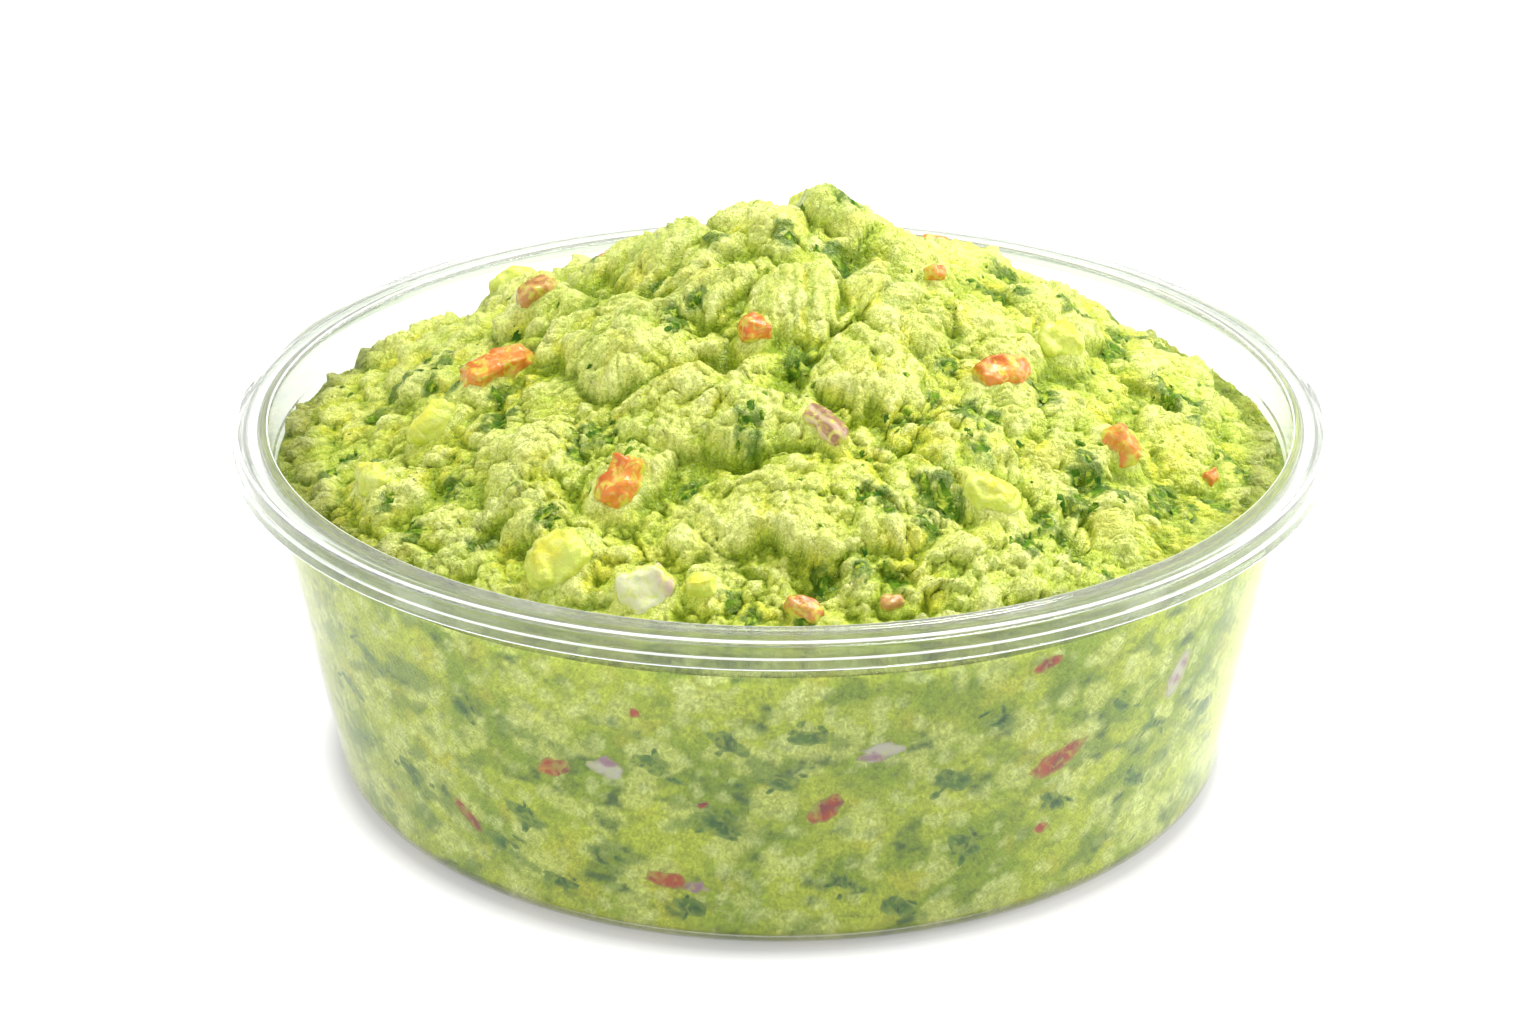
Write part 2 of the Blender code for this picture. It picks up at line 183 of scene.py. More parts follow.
def soft_max(a: Array, b: Array, softness: float) -> Array:
    """The larger of two heights, rounded where they cross: (a + b + hypot(a - b, softness)) / 2."""
    return 0.5 * (a + b + np.hypot(a - b, softness))


def linear(red: float, green: float, blue: float) -> Array:
    """A display colour, 0 to 255 a channel, as linear light."""
    c = np.array([red, green, blue]) / 255
    return np.where(c <= 0.04045, c / 12.92, ((c + 0.055) / 1.055) ** 2.4)


def mix(a: Array, b: Array, share: Array) -> Array:
    """Colours a and b mixed by a share for each point."""
    return a + (b - a) * np.asarray(share)[..., None]


# ---------------------------------------------------------------------------------------------
# Meshes
# ---------------------------------------------------------------------------------------------


def grid_quads(rows: int, columns: int, closed: bool = False, start: int = 0) -> Array:
    """The quads of a grid of points stored row by row.

    Args:
        rows: Points down the grid.
        columns: Points across it.
        closed: Whether the last column joins the first.
        start: The number of the grid's first point.

    Returns:
        An (n, 4) array of point numbers.
    """
    across = columns if closed else columns - 1
    i, j = np.meshgrid(np.arange(rows - 1), np.arange(across), indexing="ij")
    k = (j + 1) % columns
    quads = np.stack([i * columns + j, i * columns + k, (i + 1) * columns + k, (i + 1) * columns + j], -1)
    return quads.reshape(-1, 4) + start


def mesh_piece(
    name: str,
    points: Array,
    quads: Array,
    triangles: Optional[Array] = None,
    colours: Optional[Array] = None,
) -> bpy.types.Object:
    """A smooth-shaded object at the origin from arrays of points and faces.

    Args:
        name: The piece's name.
        points: An (n, 3) array in metres.
        quads: An (m, 4) array of point numbers.
        triangles: An optional (k, 3) array of point numbers.
        colours: An optional (n, 3) array of linear colours, kept as the attribute "tint".

    Returns:
        The new object, linked to the scene.
    """
    triangles = np.zeros((0, 3), int) if triangles is None else triangles
    mesh = bpy.data.meshes.new(name)
    loops = np.concatenate([quads.ravel(), triangles.ravel()]).astype(np.int32)
    totals = np.concatenate([np.full(len(quads), 4), np.full(len(triangles), 3)]).astype(np.int32)
    starts = np.concatenate([[0], np.cumsum(totals)[:-1]]).astype(np.int32)
    mesh.vertices.add(len(points))
    mesh.vertices.foreach_set("co", points.astype(np.float32).ravel())
    mesh.loops.add(len(loops))
    mesh.loops.foreach_set("vertex_index", loops)
    mesh.polygons.add(len(totals))
    mesh.polygons.foreach_set("loop_start", starts)
    mesh.polygons.foreach_set("loop_total", totals)
    mesh.polygons.foreach_set("use_smooth", np.ones(len(totals), bool))
    mesh.update(calc_edges=True)
    if colours is not None:
        attribute = mesh.color_attributes.new("tint", "FLOAT_COLOR", "POINT")
        rgba = np.concatenate([colours, np.ones((len(colours), 1))], 1)
        attribute.data.foreach_set("color", rgba.astype(np.float32).ravel())
    piece = bpy.data.objects.new(name, mesh)
    bpy.context.scene.collection.objects.link(piece)
    return piece


def disc_from_square(u: Array, v: Array) -> tuple[Array, Array]:
    """Maps the square from -1 to 1 onto the unit disc, ring by ring, with cells of like area.

    Formula: a point of the square on the ring of half-width s goes to the circle of radius s, at
    an angle of 45 degrees times the share that it lies along that ring's side.
    """
    wide = np.abs(u) >= np.abs(v)
    reach = np.where(wide, u, v)
    other = np.where(wide, v, u)
    turn = math.pi / 4 * other / np.where(reach == 0, 1, reach)
    along, aside = reach * np.cos(turn), reach * np.sin(turn)
    return np.where(wide, along, aside), np.where(wide, aside, along)


# ---------------------------------------------------------------------------------------------
# Sizes that several pieces share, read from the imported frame.
# ---------------------------------------------------------------------------------------------


@dataclass(frozen=True)
class TubSizes:
    """The tub's section, from its box in the frame. Sizes in metres."""

    rim_radius: float
    top: float
    rim_height: float = 3.6 * MM
    wall: float = 0.9 * MM
    floor: float = 1.0 * MM
    body_inset: float = 4.4 * MM
    slope: float = 0.186
    foot_radius: float = 4.0 * MM
    rim_wall: float = 0.75 * MM
    seat_depth: float = 2.2 * MM

    @classmethod
    def from_frame(cls) -> "TubSizes":
        """Reads the rim's radius and its height from the tub's box."""
        low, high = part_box("tub")
        return cls(rim_radius=(high[0] - low[0]) / 2, top=high[2])

    @property
    def lip(self) -> float:
        """The height of the lower edge of the rim's skirt."""
        return self.top - self.rim_height

    def outer_radius(self, height: Array) -> Array:
        """The wall's outer radius at a height: body radius + slope (height - lip)."""
        return self.rim_radius - self.body_inset + self.slope * (height - self.lip)

    def inner_radius(self, height: Array, inset: float) -> Array:
        """The radius of the straight surface this far inside the wall's outer face."""
        return self.outer_radius(height) - inset * math.hypot(1.0, self.slope)

    def foot(self, inset: float, steps: int) -> Array:
        """Radius and height along the bend at the foot, for a face this far inside the outer one.

        Formula: (c + r cos a, foot_radius + r sin a) for a from the wall's lean to -90 degrees,
        where all faces share the centre c and r is foot_radius - inset.

        Args:
            inset: Distance inside the outer face.
            steps: Number of steps along the bend.

        Returns:
            A (steps + 1, 2) array.
        """
        lean = math.atan(self.slope)
        centre = self.outer_radius(self.foot_radius) - self.foot_radius / math.cos(lean)
        radius = self.foot_radius - inset
        angle = np.linspace(-lean, -math.pi / 2, steps + 1)
        return np.stack([centre + radius * np.cos(angle), self.foot_radius + radius * np.sin(angle)], 1)


@dataclass(frozen=True)
class Lobe:
    """A fold of the heap, or a hollow where rise is negative. Sizes in mm, yaw in degrees."""

    x: float
    y: float
    length: float
    width: float
    rise: float
    yaw: float = 0.0
    torn: bool = False  # whether its face is pulled into fine ridges along its length


FOLDS = (
    Lobe(-16.0, 3.5, 15, 13, 5.1, 0, True),
    Lobe(-3.5, 6.0, 12, 8, 2.1, 10),
    Lobe(-9.5, -4.5, 8, 9, 2.8, 50),
    Lobe(-1.0, -4.5, 10, 8, 2.5, -20),
    Lobe(7.5, 2.5, 9, 12, 5.4, 25, True),
    Lobe(16.0, 0.5, 17, 9, 2.8, -8),
    Lobe(2.5, -17.0, 15, 10, 3.9, 80, True),
    Lobe(-22.0, -16.0, 28, 12, 3.8, -42),
    Lobe(-10.0, -13.0, 21, 9, 3.2, 8),
    Lobe(-9.0, -33.0, 30, 13, 4.1, -6),
    Lobe(11.5, -26.0, 15, 11, 3.0, 20),
    Lobe(16.0, -15.0, 14, 12, 3.2, 50),
    Lobe(27.0, -13.0, 16, 10, 3.2, -25),
    Lobe(-33.0, 1.5, 15, 11, 4.4, -15),
    Lobe(-46.0, -1.0, 17, 11, 2.7, 30),
    Lobe(37.5, 3.0, 15, 11, 4.2, 20),
    Lobe(54.0, 2.0, 15, 11, 3.0, -30),
    Lobe(5.0, -46.5, 32, 11, 3.3, 3),
    Lobe(-52.0, -29.0, 15, 9, 2.3, -35),
    Lobe(26.0, -52.0, 22, 9, 2.3, 25),
    Lobe(-19.0, -39.0, 13, 10, 2.7, 40),
    Lobe(-34.0, -31.0, 15, 10, 2.8, -30),
    Lobe(39.0, -25.0, 13, 11, 2.8, 60),
    Lobe(54.0, -15.0, 13, 9, 2.3, 70),
    Lobe(-24.0, -52.0, 18, 9, 2.3, -20),
    Lobe(-42.0, -14.0, 13, 10, 2.5, 10),
    Lobe(24.0, -36.0, 17, 9, 2.8, 35),
    Lobe(44.0, -38.0, 14, 8, 2.3, 50),
    Lobe(17.0, -43.0, 16, 9, 2.5, -8),
    Lobe(30.0, -25.0, 14, 9, 2.7, 15),
    Lobe(-32.0, -42.0, 14, 8, 2.3, -35),
)
HOLLOWS = (
    Lobe(-8.5, -25.0, 9, 7, -3.6, -20),
    Lobe(0.0, -29.5, 8, 5, -3.0, 0),
    Lobe(10.5, -7.5, 8, 6, -3.6, 50),
    Lobe(-5.5, -10.5, 9, 4, -2.4, 15),
    Lobe(13.0, -34.5, 6, 5, -2.2, 0),
    Lobe(-4.5, -40.5, 5, 5, -2.0, 0),
    Lobe(20.0, -44.5, 8, 4, -2.8, -10),
    Lobe(4.5, -55.5, 10, 4, -2.6, 0),
    Lobe(36.5, -42.0, 5, 9, -2.4, 0),
    Lobe(-38.0, -41.0, 7, 5, -2.6, 20),
    Lobe(-40.5, -48.0, 8, 4, -2.4, -40),
    Lobe(50.0, -6.0, 8, 4, -2.2, -30),
)


@dataclass(frozen=True)
class Bed:
    """The patch of mash that a topping lies in, level with its plane. Lengths in mm."""

    centre: Array
    normal: Array
    length: float
    width: float
    yaw: float
    depth: float

    def share(self, x: Array, y: Array) -> tuple[Array, Array]:
        """How far each place belongs to the bed, from 0 to 1, and the bed's height there."""
        east, north = x - self.centre[0], y - self.centre[1]
        along = east * math.cos(self.yaw) + north * math.sin(self.yaw)
        across = north * math.cos(self.yaw) - east * math.sin(self.yaw)
        far = np.hypot(2 * along / self.length, 2 * across / self.width)
        height = self.centre[2] - self.depth - (east * self.normal[0] + north * self.normal[1]) / self.normal[2]
        return 1 - smooth_step(far, 0.8, 1.5), height


@dataclass
class HeapForm:
    """The heap's surface as a height over each place: a low cone, folds, hollows and lumps.

    Lengths are in mm inside this class, and its methods take and give metres.
    """

    tub: TubSizes
    rise: float = 33.2
    foot: float = 64.0
    power: float = 1.14
    lean: float = 2.4
    back_drop: float = 3.0
    lump_pitch: float = 8.0
    fold_mean: float = 1.8
    calm_edge: float = 9.0
    calm_share: float = 0.15
    back_edge: float = 10.0
    back_spacing: float = 9.0
    back_reach: float = 62.0
    slump: float = 0.8
    beds: list = field(default_factory=list)
    stains: list = field(default_factory=list)
    folds: tuple = field(init=False)

    def __post_init__(self) -> None:
        """Joins the named folds with those of the back."""
        self.folds = FOLDS + self.back_folds()

    @staticmethod
    def fixed_chance(i: Array, j: Array, salt: float) -> Array:
        """The part after the point of 43758.5453 sin(12.9898 i + 78.233 j + 37.719 salt)."""
        value = np.sin(i * 12.9898 + j * 78.233 + salt * 37.719) * 43758.5453
        return value - np.floor(value)

    def back_folds(self) -> tuple:
        """The folds of the back, on a sunflower spiral that covers the heap evenly."""
        found = []
        for step in range(1, int((self.back_reach / self.back_spacing) ** 2) + 1):
            radius = self.back_spacing * math.sqrt(step)
            x = radius * math.cos(step * GOLDEN_ANGLE)
            y = radius * math.sin(step * GOLDEN_ANGLE)
            if y > self.back_edge:
                length = 13 + 6 * self.fixed_chance(step, 0, 1)
                rise = 2.6 + 1.4 * self.fixed_chance(step, 0, 2)
                yaw = 180 * self.fixed_chance(step, 0, 3)
                found.append(Lobe(x, y, length, 0.7 * length, rise, yaw))
        return tuple(found)

    @staticmethod
    def oval(x: Array, y: Array, lobe: Lobe) -> tuple[Array, Array, Array]:
        """A lobe's own coordinates: along, downhill across, and the squared oval distance.

        The half of the oval that points down the slope is narrower, so that side is steeper.
        """
        yaw = math.radians(lobe.yaw)
        along = (x - lobe.x) * math.cos(yaw) + (y - lobe.y) * math.sin(yaw)
        across = (y - lobe.y) * math.cos(yaw) - (x - lobe.x) * math.sin(yaw)
        across = across * math.copysign(1.0, lobe.y * math.cos(yaw) - lobe.x * math.sin(yaw))
        half = lobe.width * np.where(across > 0, 0.5, 0.75)
        return along, across, (2 * along / lobe.length) ** 2 + (across / half) ** 2

    def swelling(self, x: Array, y: Array, lobe: Lobe) -> Array:
        """How far a fold stands up at each point: rise tanh(1.4 (1 - q)^e), with q the oval distance.

        The power e falls from 1.2 at its back to 0.65 at its front, which ends in a steep step,
        and tanh flattens its top.
        """
        _, across, q = self.oval(x, y, lobe)
        power = 1.2 - 0.55 * smooth_step(across / lobe.width, 0.0, 0.35)
        return lobe.rise * np.tanh(1.4 * np.clip(1 - q, 0, 1) ** power)

    def shingles(
        self, x: Array, y: Array, pitch: float, salt: int, stretch: float, spread: float
    ) -> tuple[Array, Array, Array]:
        """Overlapping tongues of paste on a jittered triangular grid, each leaning downhill.

        Each tongue is an oval dome sqrt(1 - q) that grows towards its lower edge, so that its
        front is steep and its back runs into the heap.

        Args:
            x, y: Places in mm.
            pitch: Spacing of the grid in mm.
            salt: Picks the field.
            stretch: The widest tongue's width over its length.
            spread: How far a tongue may turn from straight downhill, in radians.

        Returns:
            The height of the highest tongue as a share, how far it stands over the next one, and
            the number that belongs to it.
        """
        row_pitch = pitch * math.sqrt(3) / 2
        first = np.zeros_like(x)
        second = np.zeros_like(x)
        owner = np.zeros_like(x)
        for row_step in (-2, -1, 0, 1, 2):
            j = np.round(y / row_pitch) + row_step
            shift = 0.5 * (j % 2)
            for column_step in (-2, -1, 0, 1, 2):
                i = np.round(x / pitch - shift) + column_step
                draw = [self.fixed_chance(i, j, salt + n) for n in range(7)]
                centre_x = (i + shift + 0.5 * (draw[0] - 0.5)) * pitch
                centre_y = (j + 0.5 * (draw[1] - 0.5)) * row_pitch
                turn = np.arctan2(centre_y, centre_x) + spread * (2 * draw[2] - 1)
                east, north = x - centre_x, y - centre_y
                along = east * np.cos(turn) + north * np.sin(turn)
                across = north * np.cos(turn) - east * np.sin(turn)
                length = pitch * (0.62 + 0.3 * draw[3])
                width = length * (0.85 + (stretch - 0.85) * draw[4])
                lengthwise = along / (length * np.where(along > 0, 0.8, 1.5))
                q = lengthwise**2 + (across / width) ** 2
                slab = 0.62 + 0.38 * np.clip(lengthwise, -1, 1)
                sharp = 1.5 - 1.05 * smooth_step(lengthwise, 0.0, 0.7)
                value = (0.55 + 0.45 * draw[5]) * slab * np.clip(1 - q, 0, 1) ** sharp
                higher = value > first
                second = np.where(higher, first, np.maximum(second, value))
                owner = np.where(higher, draw[6], owner)
                first = np.where(higher, value, first)
        return first, first - second, owner

    def strength(self, x: Array, y: Array, edge: float) -> Array:
        """How much of the relief is left at each place, falling to calm_share at the wall."""
        from_wall = self.tub.inner_radius(self.tub.lip, self.tub.wall) / MM - np.hypot(x, y)
        return self.calm_share + (1 - self.calm_share) * np.clip(from_wall / edge, 0, 1)

    def large(self, x: Array, y: Array) -> tuple[Array, Array]:
        """The height in mm of the cone with its folds and hollows, and their creases.

        Args:
            x, y: Places in mm.

        Returns:
            The height, and how close each place is to where two folds meet, from 0 to 1.
        """
        flat = np.stack([x, y, np.zeros_like(x)], 1)
        shift_x = 2.0 * waves(flat, 9.0, 101, 3)
        shift_y = 2.0 * waves(flat, 9.0, 151, 3)
        spread = np.hypot(x, y) / self.foot
        lean = self.lean * np.clip(1 - spread**2, 0, 1)
        spread = np.hypot(x - lean, y) / self.foot
        height = self.tub.lip / MM + self.rise * (1 - spread**self.power)
        height -= self.back_drop * np.clip(y / self.foot, 0, 1.1) ** 2
        first = np.zeros_like(x)
        second = np.zeros_like(x)
        for lobe in self.folds:
            value = self.swelling(x + shift_x, y + shift_y, lobe)
            second = np.where(value > first, first, np.maximum(second, value))
            first = np.maximum(first, value)
        meet = np.exp(-(first - second) / 0.5) * smooth_step(second, 0.2, 1.0)
        relief = first - 0.8 * meet
        for lobe in HOLLOWS:
            relief += self.swelling(x + shift_x, y + shift_y, lobe)
        return height + relief * self.strength(x, y, self.calm_edge), meet

    def streaks(self, points: Array, bend: Array) -> Array:
        """Fine lines pulled down the slope in patches, about -1 to 1.

        The noise is read at places turned round the apex, with the distance round the heap
        stretched and the distance down it squeezed.
        """
        radius = np.hypot(points[:, 0], points[:, 1])
        turn = np.arctan2(points[:, 1], points[:, 0])
        ring = np.stack([np.cos(turn), np.sin(turn), np.zeros_like(turn)], 1) * 24
        lines = np.stack([ring[:, 0], ring[:, 1], 0.13 * radius], 1) + 0.35 * bend
        patch = smooth_step(waves(points, 9.0, 381, 2), 0.0, 0.45)
        return patch * (1 - 2.4 * np.abs(waves(lines, 0.9, 385, 2)))

    def fine(self, x: Array, y: Array, z: Array) -> tuple[Array, dict[str, Array]]:
        """The relief in mm of the mash itself, and the fields that its colour follows.

        Tongues of paste of two sizes, chunks, curds and grains are added, each with a sharp
        valley where it meets its neighbour.

        Args:
            x, y, z: Places on the large form, in mm.

        Returns:
            The relief, and the fields.
        """
        points = np.stack([x, y, z], 1)
        bend = np.stack([waves(points, 5.0, 201 + 10 * n, 3) for n in range(3)], 1)
        lumpy = 0.5 * smooth_step(-x, 22.0, 45.0) + 0.4 * smooth_step(-y, 34.0, 50.0) - 0.25
        rough = smooth_step(waves(points, 13.0, 301, 2) + lumpy, -0.2, 0.35)
        warped_x, warped_y = x + 1.6 * bend[:, 0], y + 1.6 * bend[:, 1]
        tongue, gap, turn = self.shingles(warped_x, warped_y, self.lump_pitch, 4, 2.3, 0.6)
        meet = np.exp(-gap / 0.06) * smooth_step(tongue, 0.05, 0.2)
        relief = 2.3 * tongue - 0.45 * meet
        small, gap_small, turn_small = self.shingles(x + 0.9 * bend[:, 1], y + 0.9 * bend[:, 2], 3.5, 24, 1.9, 1.0)
        meet_small = np.exp(-gap_small / 0.06) * smooth_step(small, 0.05, 0.2)
        relief += (0.4 + 0.9 * rough) * small - 0.15 * meet_small
        warped = points + 1.4 * bend
        coarse = Cells.around(warped, 4.6, 311, crisp=30.0)
        dome = coarse.domes(0.72, 0.22)
        relief = soft_max(relief, (0.15 + 0.85 * rough) * 2.6 * dome, 0.3) + 0.35 * coarse.facet
        curds = Cells.around(warped + 0.3 * bend[:, ::-1], 2.3, 331, crisp=30.0)
        relief += (0.16 + 0.34 * rough) * curds.domes(0.72, 0.6) + 0.16 * curds.facet
        relief += 0.45 * waves(warped, 3.2, 361, 4) + 0.28 * waves(points, 0.8, 371, 2)
        relief += 0.12 * self.streaks(points, bend)
        smear = np.zeros(len(points))
        for lobe in self.folds:
            if lobe.torn:
                ridges = np.stack([x + 0.15 * y, 0.12 * y, np.zeros_like(x)], 1)
                pull = np.clip(1.3 - self.oval(x, y, lobe)[2], 0, 1)
                smear = np.maximum(smear, pull)
                relief += pull * 0.7 * (1 - 2 * np.abs(waves(ridges, 1.1, 391, 2)))
        fields = {
            "crease": np.maximum(meet, 0.8 * meet_small), "owner": coarse.owner, "owner2": curds.owner,
            "smear": smear, "dome": dome, "turn": turn, "turn_small": turn_small,
        }
        return relief * (1 - 0.45 * smear), fields

    def surface(self, x: Array, y: Array) -> tuple[Array, dict[str, Array]]:
        """The finished surface over each place, with the fields that the colour follows.

        Crests lean outward over the creases below them, by slump times their height over the
        cone.

        Args:
            x, y: Flat arrays of places in metres.

        Returns:
            An (n, 3) array of points in metres, and the fields of fine().
        """
        x_mm, y_mm = x / MM, y / MM
        large, meet = self.large(x_mm, y_mm)
        relief, fields = self.fine(x_mm, y_mm, large)
        inside = np.hypot(x_mm, y_mm) < 55
        mean = relief[inside].mean() if inside.any() else 0.0
        LOG.info("relief: mean %.2f mm, spread %.2f mm", mean, relief[inside].std())
        fade = smooth_step(self.strength(x_mm, y_mm, 3.0), self.calm_share, 1.0)
        relief = (relief - mean) * fade - self.fold_mean * self.strength(x_mm, y_mm, self.calm_edge)
        bedded = np.zeros_like(x)
        level = np.zeros_like(x)
        for bed in self.beds:
            share, height = bed.share(x_mm, y_mm)
            level = np.where(share > bedded, height, level)
            bedded = np.maximum(bedded, share)
        shift = self.slump * fade * (relief + self.fold_mean) * (1 - bedded) / (np.hypot(x_mm, y_mm) + 3.0)
        height = (large + relief) * (1 - bedded) + (level + 0.3 * relief) * bedded
        stain = np.zeros_like(x)
        for place_x, place_y, reach in self.stains:
            far = np.hypot(x_mm - place_x, y_mm - place_y) / reach
            stain = np.maximum(stain, 1 - smooth_step(far, 0.3, 1.3))
        fields["stain"] = stain
        fields["crease"] = np.maximum(fields["crease"], meet)
        points = np.stack([x_mm + shift * x_mm, y_mm + shift * y_mm, height], 1)
        return points * MM, fields

    def contact(self, angle: Array, inset: float) -> Array:
        """Where the surface meets the wall in each direction, found by stepping along the slope."""
        height = np.full_like(angle, self.tub.lip)
        for _ in range(8):
            radius = self.tub.inner_radius(height, inset)
            x, y = radius * np.cos(angle) / MM, radius * np.sin(angle) / MM
            height = (self.large(x, y)[0] - self.fold_mean * self.calm_share) * MM
            height = np.minimum(height, self.tub.lip - self.tub.seat_depth)
        return height


# ---------------------------------------------------------------------------------------------
# Finishes
# ---------------------------------------------------------------------------------------------


class Slot(Enum):
    """The record's material slots."""

    CLEAR = "clear_tub"
    MASH = "mash"
    TOMATO = "tomato"
    ONION = "onion"
    AVOCADO = "avocado"


@dataclass(frozen=True)
class MashColours:
    """The colours of the mash, as linear light."""

    cream_tint_and_highlight: Array = field(default_factory=lambda: linear(241, 246, 158))
    pale: Array = field(default_factory=lambda: linear(224, 232, 108))
    flesh: Array = field(default_factory=lambda: linear(210, 220, 80))
    yellow: Array = field(default_factory=lambda: linear(224, 220, 52))
    green: Array = field(default_factory=lambda: linear(184, 206, 60))
    crease_shade: Array = field(default_factory=lambda: linear(130, 158, 0))
    herb: Array = field(default_factory=lambda: linear(66, 112, 0))

    def paint(self, points: Array, fields: dict[str, Array], hollow: Array) -> Array:
        """The colour at each place of the mash.

        Broad patches run from yellow-green to green and each chunk has its own tint. Crests get a
        painted cream highlight, creases and hollows a painted deep-green shade, and the heap's edge
        by the wall a painted darker shade.

        Args:
            points: An (n, 3) array of places in mm.
            fields: "chunk", "crease", "owner" and "owner2" at each place.
            hollow: From 0 on crests to 1 in hollows.

        Returns:
            An (n, 3) array of linear colours.
        """
        broad = smooth_step(waves(points, 14.0, 501, 3), -0.5, 0.5)
        colour = mix(self.green, self.flesh, 0.5 + 0.5 * broad)
        warm = smooth_step(waves(points, 7.0, 521, 3), 0.0, 0.5)
        colour = mix(colour, self.yellow, 0.6 * warm)
        owner, owner2 = fields["owner"], fields["owner2"]
        dome = fields.get("dome", np.ones(len(points)))
        colour = mix(colour, self.pale, 0.8 * smooth_step(owner, 0.4, 0.75) * smooth_step(dome, 0.1, 0.4))
        # Cream on some curds, kept out of the hollows: partly their own pale tint, partly a painted highlight.
        colour = mix(colour, self.cream_tint_and_highlight, 0.36 * smooth_step(owner2, 0.6, 0.95) * (1 - hollow))
        colour = mix(colour, self.green, 0.35 * smooth_step(owner, 0.28, 0.1))
        # Painted highlight: cream on the crests, where hollow is low.
        colour = mix(colour, self.cream_tint_and_highlight, 0.28 * smooth_step(0.46 - hollow, 0.0, 0.3))
        lines = waves(points * (1, 0.12, 0.12), 1.1, 531, 2)
        colour = mix(colour, self.green * 0.85, 0.7 * fields.get("smear", 0 * dome) * smooth_step(lines, -0.1, 0.5))
        # Painted shade: deep green in the hollows and along the creases.
        colour = mix(colour, self.crease_shade, 0.8 * smooth_step(hollow, 0.6, 1.05))
        colour = mix(colour, self.crease_shade, 0.5 * smooth_step(fields.get("crease", 0 * dome), 0.5, 0.95))
        ragged = fields.get("stain", np.zeros(len(points))) + 0.5 * waves(points, 1.6, 541, 3)
        colour = mix(colour, self.herb, 0.8 * smooth_step(ragged, 0.5, 1.0))
        # Painted shade: the heap's outer edge next to the wall is darkened, as if shaded by the rim.
        inward = fields.get("inward", np.full(len(points), 9.0))
        return mix(colour * 0.55, colour, smooth_step(inward, -2.0, 1.8))


class Nodes:
    """A thin hand on a material's node tree, so that each finish reads as a list of steps."""

    def __init__(self, name: str) -> None:
        """Starts a material with an empty tree, a Principled shader and an output."""
        self.material = bpy.data.materials.new(name)
        self.material.use_nodes = True
        self.tree = self.material.node_tree
        self.tree.nodes.clear()
        self.output = self.tree.nodes.new("ShaderNodeOutputMaterial")
        self.shader = self.tree.nodes.new("ShaderNodeBsdfPrincipled")
        self.join(self.shader.outputs[0], self.output.inputs["Surface"])

    def join(self, source: bpy.types.NodeSocket, target: bpy.types.NodeSocket) -> None:
        """Links one socket to another."""
        self.tree.links.new(source, target)

    def add(self, kind: str, **values: object) -> bpy.types.Node:
        """Adds a node and sets its properties, or its inputs where the name is an input's."""
        node = self.tree.nodes.new(kind)
        for key, value in values.items():
            if hasattr(node, key):
                setattr(node, key, value)
            else:
                node.inputs[key.replace("_", " ").title()].default_value = value
        return node

    def place(self) -> bpy.types.NodeSocket:
        """Object coordinates, in metres on a piece at the origin."""
        return self.add("ShaderNodeTexCoord").outputs["Object"]

    def noise(self, size: float, detail: float = 2.0, roughness: float = 0.5, swirl: float = 0.0) -> bpy.types.NodeSocket:
        """Noise from 0 to 1 whose features are about this many metres wide, pulled into strings by swirl."""
        node = self.add("ShaderNodeTexNoise")
        node.inputs["Distortion"].default_value = swirl
        node.inputs["Scale"].default_value = 1 / size
        node.inputs["Detail"].default_value = detail
        node.inputs["Roughness"].default_value = roughness
        self.join(self.place(), node.inputs["Vector"])
        return node.outputs["Fac"]

    def ranged(self, source: bpy.types.NodeSocket, low: float, high: float, to_low: float, to_high: float) -> bpy.types.NodeSocket:
        """The source mapped from one range to another, and held inside the second."""
        node = self.add("ShaderNodeMapRange")
        for key, value in zip(("From Min", "From Max", "To Min", "To Max"), (low, high, to_low, to_high)):
            node.inputs[key].default_value = value
        self.join(source, node.inputs["Value"])
        return node.outputs["Result"]

    def bump(self, height: bpy.types.NodeSocket, distance: float, strength: float, normal: Optional[bpy.types.NodeSocket] = None) -> bpy.types.NodeSocket:
        """A bumped normal from a height."""
        node = self.add("ShaderNodeBump")
        node.inputs["Distance"].default_value = distance
        node.inputs["Strength"].default_value = strength
        self.join(height, node.inputs["Height"])
        if normal is not None:
            self.join(normal, node.inputs["Normal"])
        return node.outputs["Normal"]


